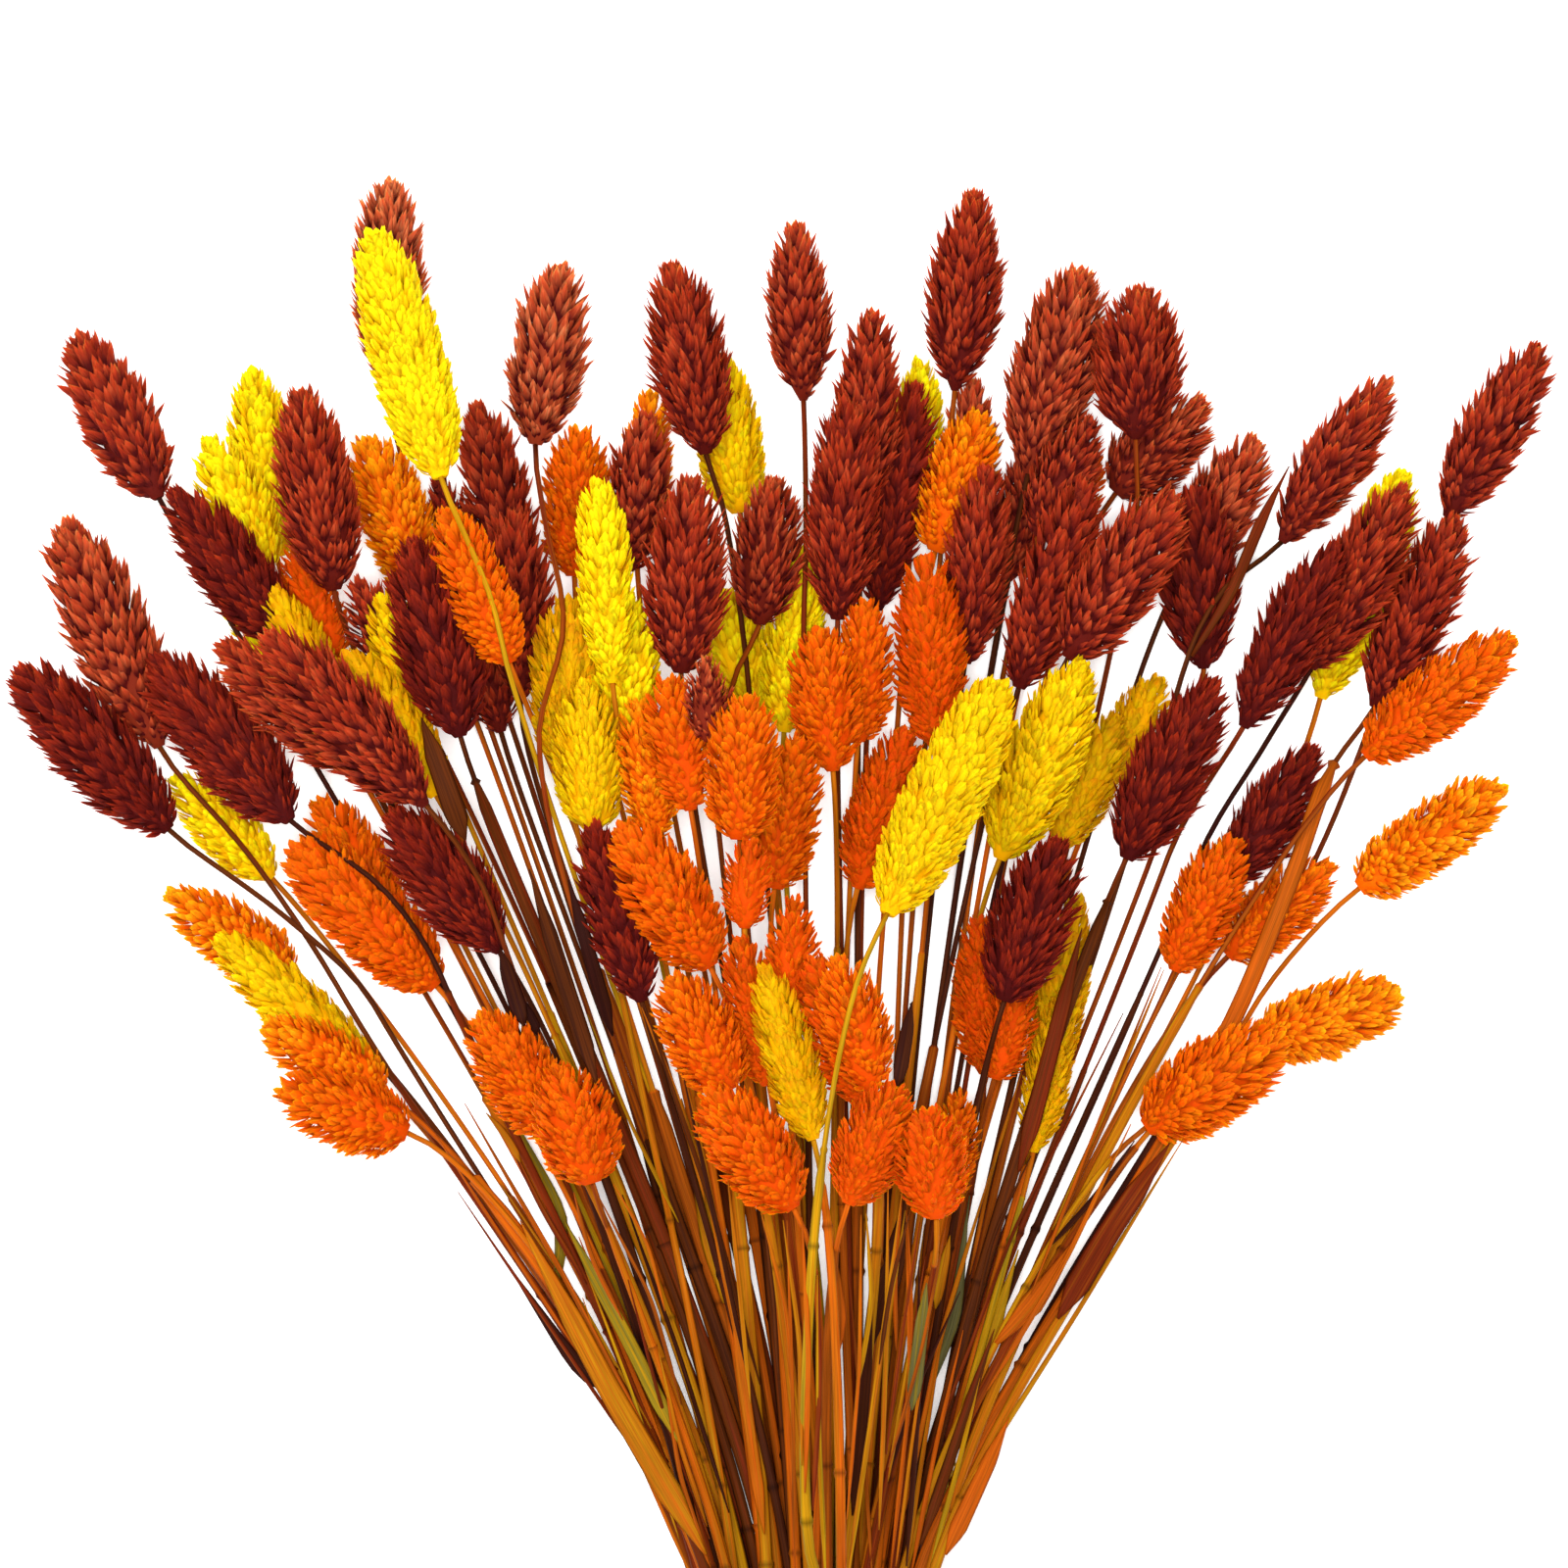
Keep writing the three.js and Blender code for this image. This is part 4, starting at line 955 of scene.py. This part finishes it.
def add_stem(surface, strand, dye):
    """A culm from its cut end to its head, with joints and the open mouth of its sheath."""
    corners, heights, curve, stem = (strand[key] for key in ("corners", "heights", "curve", "stem"))
    number = stem["number"]
    start, total = corners[0][4], corners[-2][4]
    mouth = min(stem["sheath_top"], total - SHEATH_TO_HEAD_MIN)
    joints = joints_of(number, mouth)
    marked = [mouth - MOUTH_EDGE, mouth]
    for joint in joints:
        marked += [joint - JOINT_HALF_LENGTH, joint, joint + JOINT_HALF_LENGTH]
    even = np.linspace(start, total, int((total - start) / STEM_STEP) + 1)
    path = np.unique(np.concatenate([even, marked]))
    x = np.where(path < 0, corners[0][0], np.interp(path, curve["path"], curve["x"]))
    tail_y = mix(corners[0][1], FAN_START, (path - start) / -start)
    y = np.where(path < 0, tail_y, np.interp(path, curve["path"], curve["y"]))
    z = np.interp(path, corners[:-1, 4], heights[:-1])
    z = np.maximum(z, smooth(z, SMOOTH_ROUNDS))
    half = np.interp(path, corners[:-1, 4], corners[:-1, 2])
    at_mouth = np.abs(path - (mouth - MOUTH_EDGE)) < MOUTH_EDGE / 2
    half = np.where(at_mouth, stem["sheath_half"] * MOUTH_SHARE, half)
    thick = np.interp(path, corners[:-1, 4], corners[:-1, 3])
    at_joint = np.isin(path, joints).astype(float)
    swell = 1 + (JOINT_SWELL - 1) * at_joint
    stalk_tint = KNOWN_TINTS.get(number, mix(*STALK_TINTS[dye], chance(number, "stalk tint")))
    sheath_tint = KNOWN_TINTS.get(number, mix(*SHEATH_TINTS[dye], chance(number, "sheath tint")))
    tint = np.where(path < mouth, sheath_tint, stalk_tint)
    add_tube(surface, np.column_stack([x, y, z]), half * swell, thick * swell, path, number, tint,
             at_joint, True)


def add_tube(surface, points, half, thick, path, number, tint, at_joint=0.0, is_hollow=False):
    """A smooth tube along points with an elliptic section, wide across and flat in height."""
    ahead = np.gradient(points, axis=0)
    ahead /= np.linalg.norm(ahead, axis=1)[:, None]
    side = np.column_stack([ahead[:, 1], -ahead[:, 0], np.zeros(len(ahead))])
    side /= np.linalg.norm(side, axis=1)[:, None]
    up = np.cross(side, ahead)
    turn = np.linspace(0, 2 * math.pi, STEM_SIDES, endpoint=False)
    across = half[:, None] * np.cos(turn)
    rise = thick[:, None] * np.sin(turn)
    around = side[:, None, :] * across[..., None] + up[:, None, :] * rise[..., None]
    rings = points[:, None, :] + around
    count = len(points)
    marks = np.empty((count, STEM_SIDES, 4))
    marks[..., 0] = path[:, None]
    marks[..., 1] = across
    marks[..., 2] = number
    marks[..., 3] = np.broadcast_to(tint, count)[:, None]
    grain = np.zeros((count, STEM_SIDES, 3))
    grain[..., 0] = np.broadcast_to(at_joint, count)[:, None]
    if is_hollow:
        rim = points[0] + around[0] * CUT_RIM
        hollow = points[0] + ahead[0] * CUT_DEPTH + around[0] * CUT_HOLLOW
        rings = np.concatenate([[hollow, rim], rings])
        marks = np.concatenate([marks[:1], marks[:1], marks])
        inner = np.zeros((2, STEM_SIDES, 3))
        inner[0, :, 1] = HOLLOW_PALENESS
        inner[1, :, 1] = 1
        grain = np.concatenate([inner, grain])
    triangles = tube_triangles(len(rings), STEM_SIDES)
    surface.add(rings.reshape(-1, 3), triangles, marks.reshape(-1, 4), STEM_SLOT, grain.reshape(-1, 3))


def add_leaf(surface, leaf, number, tint):
    """A leaf blade: a smooth strip from its root to its pointed tip."""
    corners, heights = leaf["corners"], leaf["heights"]
    count = max(LEAF_POINTS_MIN, int(corners[-1][4] / LEAF_STEP))
    path = np.linspace(0, corners[-1][4], count)
    x = np.interp(path, corners[:, 4], corners[:, 0])
    y = np.interp(path, corners[:, 4], corners[:, 1])
    z = np.interp(path, corners[:, 4], heights)
    half = np.interp(path, corners[:, 4], corners[:, 2])
    points = smooth(np.column_stack([x, y, z]), SMOOTH_ROUNDS)
    thick = np.full(count, BLADE_HALF_THICKNESS)
    add_tube(surface, points, np.maximum(half, LEAF_END_HALF), thick, path, number, tint)


def line_on_top(places, half_wide, half_thick, placed):
    """Points every few millimetres along a plan line, at the heights at which a strip bridges the rest."""
    knots = np.array(places, dtype=float).reshape(-1, 2)
    reach = np.concatenate(([0], np.cumsum(np.hypot(*np.diff(knots, axis=0).T))))
    path = np.linspace(0, reach[-1], max(STRIP_POINTS_MIN, int(reach[-1] / STRIP_STEP) + 1))
    x, y = (smooth(np.interp(path, reach, knots[:, k]), STRIP_PLAN_ROUNDS) for k in (0, 1))
    count = len(path)
    samples = {"x": x, "y": y, "half": np.full(count, half_wide * STRIP_HOLD_SHARE),
               "thick": np.full(count, half_thick), "head": np.zeros(count, dtype=bool),
               "floor": np.full(count, half_thick)}
    raise_floor(samples, placed)
    floor = samples["floor"]
    highest = np.array(
        [floor[max(0, k - STRIP_SPREAD):k + STRIP_SPREAD + 1].max() for k in range(count)])
    fall = STRIP_SLOPE_MAX * path[1]
    for k in range(1, count):
        highest[k] = max(highest[k], highest[k - 1] - fall)
    for k in range(count - 2, -1, -1):
        highest[k] = max(highest[k], highest[k + 1] - fall)
    return path, np.column_stack([x, y, smooth(highest, SMOOTH_ROUNDS)])


def owner_of(sprays, points):
    """The spray whose stems stay nearest to a line of points."""
    best = None
    least = math.inf
    for n, spray in enumerate(sprays):
        samples = [strand["samples"] for strand in spray["strands"]]
        stems = np.column_stack([np.concatenate([row[key] for row in samples]) for key in ("x", "y", "z")])
        every, stem_every = OWNER_TESTS
        apart = np.linalg.norm(points[::every, None, :] - stems[None, ::stem_every, :], axis=2).min(axis=1)
        distance = apart.mean() + apart.max()
        if distance < least:
            best, least = n, distance
    return best


def add_strip(surface, path, points, half_wide, half_thick, tint, number):
    """A loose strip, narrow at both ends."""
    part = path / path[-1]
    half = half_wide * np.interp(part, *STRIP_OUTLINE) + STRIP_END_HALF
    thick = np.full(len(path), half_thick)
    add_tube(surface, points, half, thick, path, number, tint)


def free_length(x, y, way, length, heads):
    """How far a fibre runs from a place before it comes near a head."""
    steps = np.arange(0, length, STRIP_STEP)
    apart = np.hypot(x + way[0] * steps[:, None] - heads["x"], y + way[1] * steps[:, None] - heads["y"])
    near = (apart < heads["half"] + FIBRE_HEAD_CLEARANCE).any(axis=1)
    return steps[np.argmax(near)] if near.any() else length


def fibres_of(sprays, rng):
    """Thin fibres torn from the sheaths, each from a place on a stem and nearly along it."""
    strands = [strand for spray in sprays for strand in spray["strands"]]
    heads = {key: np.concatenate([strand["samples"][key][strand["samples"]["head"]] for strand in strands])
             for key in ("x", "y", "half")}
    fibres = []
    for _ in range(FIBRE_COUNT):
        strand = strands[rng.integers(len(strands))]
        curve = strand["curve"]
        start = rng.uniform(*FIBRE_START)
        stretch = (start, start + FIBRE_LOOK_AHEAD)
        x, ahead_x = np.interp(stretch, curve["path"], curve["x"])
        y, ahead_y = np.interp(stretch, curve["path"], curve["y"])
        angle = math.atan2(ahead_x - x, ahead_y - y) + rng.normal(0, FIBRE_TURN)
        way = (math.sin(angle), math.cos(angle))
        length = free_length(x, y, way, rng.uniform(*FIBRE_LENGTH), heads)
        bow = rng.normal(0, FIBRE_BOW)
        tint = FIBRE_TINTS[rng.integers(len(FIBRE_TINTS))]
        half = rng.uniform(*FIBRE_HALF)
        if length > FIBRE_LENGTH_MIN:
            middle = (x + way[0] * length / 2 + way[1] * bow, y + way[1] * length / 2 - way[0] * bow)
            places = (x, y, *middle, x + way[0] * length, y + way[1] * length)
            fibres.append((half, half * FIBRE_FLATNESS, tint, places))
    return fibres


def linear(colour):
    """Linear values of a display colour written as #rrggbb."""
    values = [int(colour[k:k + 2], 16) / 255 for k in (1, 3, 5)]
    return (*(v / 12.92 if v <= 0.04045 else ((v + 0.055) / 1.055) ** 2.4 for v in values), 1)


def set_inputs(tree, node, inputs):
    """Sets the inputs of a node, each to a value or to the socket that it comes from."""
    for key, value in inputs.items():
        if isinstance(value, bpy.types.NodeSocket):
            tree.links.new(value, node.inputs[key])
        else:
            node.inputs[key].default_value = value


def add_node(tree, kind, inputs, **settings):
    node = tree.nodes.new(f"ShaderNode{kind}")
    for key, value in settings.items():
        setattr(node, key, value)
    set_inputs(tree, node, inputs)
    return node


def compute(tree, operation, a, b):
    return add_node(tree, "Math", {0: a, 1: b}, operation=operation).outputs[0]


def noise(tree, vector, scale, detail):
    return add_node(tree, "TexNoise", {"Vector": vector, "Scale": scale, "Detail": detail}).outputs[0]


def ramp(tree, stops, factor):
    """The colour that a factor picks from stops of place and colour."""
    node = add_node(tree, "ValToRGB", {0: factor})
    elements = node.color_ramp.elements
    while len(elements) < len(stops):
        elements.new(1)
    for element, (position, colour) in zip(elements, stops):
        element.position = position
        element.color = linear(colour)
    return node.outputs[0]


def blend(tree, factor, a, b):
    """A colour on the way from one colour to another."""
    return add_node(tree, "Mix", {"Factor": factor, "A": a, "B": b}, data_type="RGBA").outputs["Result"]


def attribute(tree, name):
    return add_node(tree, "Attribute", {}, attribute_name=name).outputs


def new_material(name, roughness, gloss):
    material = bpy.data.materials.new(name)
    material.use_nodes = True
    tree = material.node_tree
    shader = tree.nodes["Principled BSDF"]
    set_inputs(tree, shader, {"Roughness": roughness, "Specular IOR Level": gloss})
    return material, tree, shader


def add_bump(tree, shader, height, distance):
    bump = add_node(tree, "Bump", {"Strength": BUMP_STRENGTH, "Distance": distance, "Height": height})
    set_inputs(tree, shader, {"Normal": bump.outputs[0]})


def head_material(name, painted_root_shade, stops, glow):
    """Scales: painted shade darkens the root of each scale, where it lies deep in the head, and fades out
    towards the lighter tip; finely veined, no two of quite the same colour.
    """
    material, tree, shader = new_material(name, HEAD_ROUGHNESS, HEAD_GLOSS)
    set_inputs(tree, shader, {
        "Subsurface Weight": GLOW_WEIGHT, "Subsurface Radius": GLOW_RADIUS, "Subsurface Scale": glow})
    marks = attribute(tree, "marks")
    shade, along = add_node(tree, "SeparateColor", {0: marks["Color"]}).outputs[:2]
    stretched = add_node(
        tree, "VectorMath", {0: attribute(tree, "grain")["Vector"], 1: VEIN_STRETCH}, operation="MULTIPLY")
    veins = noise(tree, stretched.outputs[0], 1.0, HEAD_NOISE_DETAIL)
    places = add_node(tree, "TexCoord", {}).outputs["Object"]
    patches = noise(tree, places, PATCH_SCALE, HEAD_NOISE_DETAIL)
    position = compute(tree, "MULTIPLY", compute(tree, "SUBTRACT", veins, 0.5), VEIN_SHARE)
    for value, share in ((shade, SHADE_SHARE), (patches, PATCH_SHARE), (marks["Alpha"], TONE_SHARE)):
        position = compute(tree, "ADD", position, compute(tree, "MULTIPLY", value, share))
    # Painted shade: the root colour covers the deep root of each scale and fades out towards its tip.
    root_shade_fade = add_node(tree, "MapRange", {"Value": along, "From Min": ROOT_SHADE_END, "From Max": SHADE_FREE_START})
    colour = blend(tree, root_shade_fade.outputs[0], linear(painted_root_shade), ramp(tree, stops, position))
    set_inputs(tree, shader, {"Base Color": colour})
    add_bump(tree, shader, veins, HEAD_BUMP_DEPTH)
    return material


def stem_material():
    """Dried culms and sheaths: streaks along their length, on a colour that the mesh carries."""
    material, tree, shader = new_material("dyed_stem", STEM_ROUGHNESS, STEM_GLOSS)
    marks = attribute(tree, "marks")
    path, across, number = add_node(tree, "SeparateColor", {0: marks["Color"]}).outputs
    streaks, fine = (
        noise(tree, add_node(tree, "CombineXYZ", {
            0: compute(tree, "MULTIPLY", path, along_scale),
            1: compute(tree, "MULTIPLY", across, across_scale),
            2: number}).outputs[0], STREAK_SCALE, STREAK_DETAIL)
        for along_scale, across_scale in STREAK_STRETCHES)
    streak = compute(tree, "MULTIPLY", compute(tree, "SUBTRACT", streaks, 0.5), STREAK_SHARE)
    colour = ramp(tree, STEM_STOPS, compute(tree, "ADD", marks["Alpha"], streak))
    joint, pith = add_node(tree, "SeparateXYZ", {0: attribute(tree, "grain")["Vector"]}).outputs[:2]
    age = add_node(tree, "MapRange", {
        "Value": path, "From Min": OLD_SHEATH_END, "From Max": NEW_SHEATH_START, "To Min": OLD_SHEATH_SHARE})
    light = compute(tree, "ADD", compute(tree, "MULTIPLY", fine, FINE_SHARE), LEAST_LIGHT)
    light = compute(tree, "MULTIPLY", light, age.outputs[0])
    unshaded = compute(tree, "SUBTRACT", 1.0, compute(tree, "MULTIPLY", joint, JOINT_SHADE))
    light = compute(tree, "MULTIPLY", light, unshaded)
    lit = add_node(tree, "VectorMath", {0: colour, "Scale": light}, operation="SCALE")
    colour = blend(tree, pith, lit.outputs[0], linear(PITH))
    set_inputs(tree, shader, {"Base Color": colour})
    add_bump(tree, shader, fine, STEM_BUMP_DEPTH)
    return material


def piece_of(name, surface, materials):
    mesh = bpy.data.meshes.new(name)
    points = np.concatenate(surface.points)
    points[:, 0] += SHIFT_X
    points[:, 2] = np.maximum(points[:, 2], FLOOR_CLEARANCE)
    triangles = np.concatenate(surface.triangles)
    mesh.from_pydata(points * MM, [], triangles)
    marks = mesh.attributes.new("marks", "FLOAT_COLOR", "POINT")
    marks.data.foreach_set("color", np.concatenate(surface.marks).astype(np.float32).ravel())
    grain = mesh.attributes.new("grain", "FLOAT_VECTOR", "POINT")
    grain.data.foreach_set("vector", np.concatenate(surface.grain).astype(np.float32).ravel())
    mesh.polygons.foreach_set("material_index", np.concatenate(surface.slots).astype(np.int32))
    mesh.polygons.foreach_set("use_smooth", np.ones(len(triangles), dtype=bool))
    ends = np.empty(len(mesh.edges) * 2, dtype=np.int32)
    mesh.edges.foreach_get("vertices", ends)
    rails = np.concatenate(surface.rails)[ends.reshape(-1, 2)]
    sharp = ((rails[:, 0] == rails[:, 1]) & (rails[:, 0] != 0)) | (rails.min(axis=1) == RAIL_END)
    sharp_edge = mesh.attributes.new("sharp_edge", "BOOLEAN", "EDGE")
    sharp_edge.data.foreach_set("value", sharp)
    for material in materials:
        mesh.materials.append(material)
    mesh.update()
    piece = bpy.data.objects.new(name, mesh)
    bpy.context.scene.collection.objects.link(piece)
    return piece


def build_bunch():
    """One finer piece for each spray, with its heads, stems, leaves, and the strips that lie on it."""
    heads = {dye: head_material(*values) for dye, values in HEAD_DYES.items()}
    stems = stem_material()
    counts = {"red": 0, "orange": 0, "yellow": 0}
    sprays = lay_out()
    surfaces = [Surface() for _ in sprays]
    leaf_tints = list(LEAF_TINTS)
    strands = [strand for spray in sprays for strand in spray["strands"]]
    placed = [strand["samples"] for strand in strands]
    placed += [leaf["samples"] for strand in strands for leaf in strand["leaves"]]
    strips = [(width / 2, BLADE_HALF_THICKNESS, tint, places) for width, tint, *places in LOOSE_BLADES]
    strips += fibres_of(sprays, np.random.default_rng(FIBRE_SEED))
    for number, (half, thick, tint, places) in enumerate(strips):
        path, points = line_on_top(places, half, thick, placed)
        owner = surfaces[owner_of(sprays, points)]
        add_strip(owner, path, points, half, thick, tint, STRIP_NUMBER + number)
    for n, spray in enumerate(sprays):
        dye = spray["dye"]
        counts[dye] += 1
        node = f"{dye}_spray_{counts[dye]:02d}"
        surface = surfaces[n]
        for strand in spray["strands"]:
            number = strand["stem"]["number"]
            rng = np.random.default_rng(number)
            add_stem(surface, strand, dye)
            add_head(surface, strand, dye, rng)
            for leaf in strand["leaves"]:
                add_leaf(surface, leaf, number, leaf_tints.pop(0))
        piece = piece_of(f"{node}_grass", surface, (heads[dye], stems))
        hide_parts(node)
        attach(piece, "root")


def add_camera():
    data = bpy.data.cameras.new("camera")
    data.sensor_width = SENSOR_WIDTH
    data.lens = SENSOR_WIDTH * VIEW_DISTANCE / VIEW_WIDTH
    camera = bpy.data.objects.new("camera", data)
    camera.location = (VIEW_CENTRE[0], VIEW_CENTRE[1], VIEW_CENTRE[2] + VIEW_DISTANCE)
    bpy.context.scene.collection.objects.link(camera)
    bpy.context.scene.camera = camera


def add_area_light(name, place, size, energy):
    data = bpy.data.lights.new(name, "AREA")
    data.shape = "DISK"
    data.size = size
    data.energy = energy
    light = bpy.data.objects.new(name, data)
    light.location = place
    target = np.array(VIEW_CENTRE)
    way = target - np.array(place)
    way /= np.linalg.norm(way)
    yaw = math.atan2(way[0], -way[1])
    light.rotation_euler = (math.acos(clamp(-way[2], -1, 1)), 0, yaw)
    bpy.context.scene.collection.objects.link(light)


def add_floor():
    mesh = bpy.data.meshes.new("floor")
    low, high = -FLOOR_HALF, FLOOR_HALF
    mesh.from_pydata([(low, low, 0), (high, low, 0), (high, high, 0), (low, high, 0)], [], [(0, 1, 2, 3)])
    material, tree, shader = new_material("pale_floor", FLOOR_ROUGHNESS, FLOOR_GLOSS)
    places = add_node(tree, "TexCoord", {}).outputs["Generated"]
    colour = ramp(tree, FLOOR_STOPS, noise(tree, places, FLOOR_NOISE_SCALE, FLOOR_NOISE_DETAIL))
    set_inputs(tree, shader, {
        "Base Color": colour, "Emission Color": WHITE, "Emission Strength": FLOOR_GLOW})
    mesh.materials.append(material)
    floor = bpy.data.objects.new("floor", mesh)
    bpy.context.scene.collection.objects.link(floor)


def add_world():
    world = bpy.data.worlds.new("studio")
    world.use_nodes = True
    background = world.node_tree.nodes["Background"]
    set_inputs(world.node_tree, background, {"Color": WHITE, "Strength": SKY_STRENGTH})
    bpy.context.scene.world = world
    bpy.context.scene.view_settings.view_transform = "Standard"


build_bunch()
add_camera()
add_floor()
add_world()
for name, values in LIGHTS.items():
    add_area_light(name, *values)
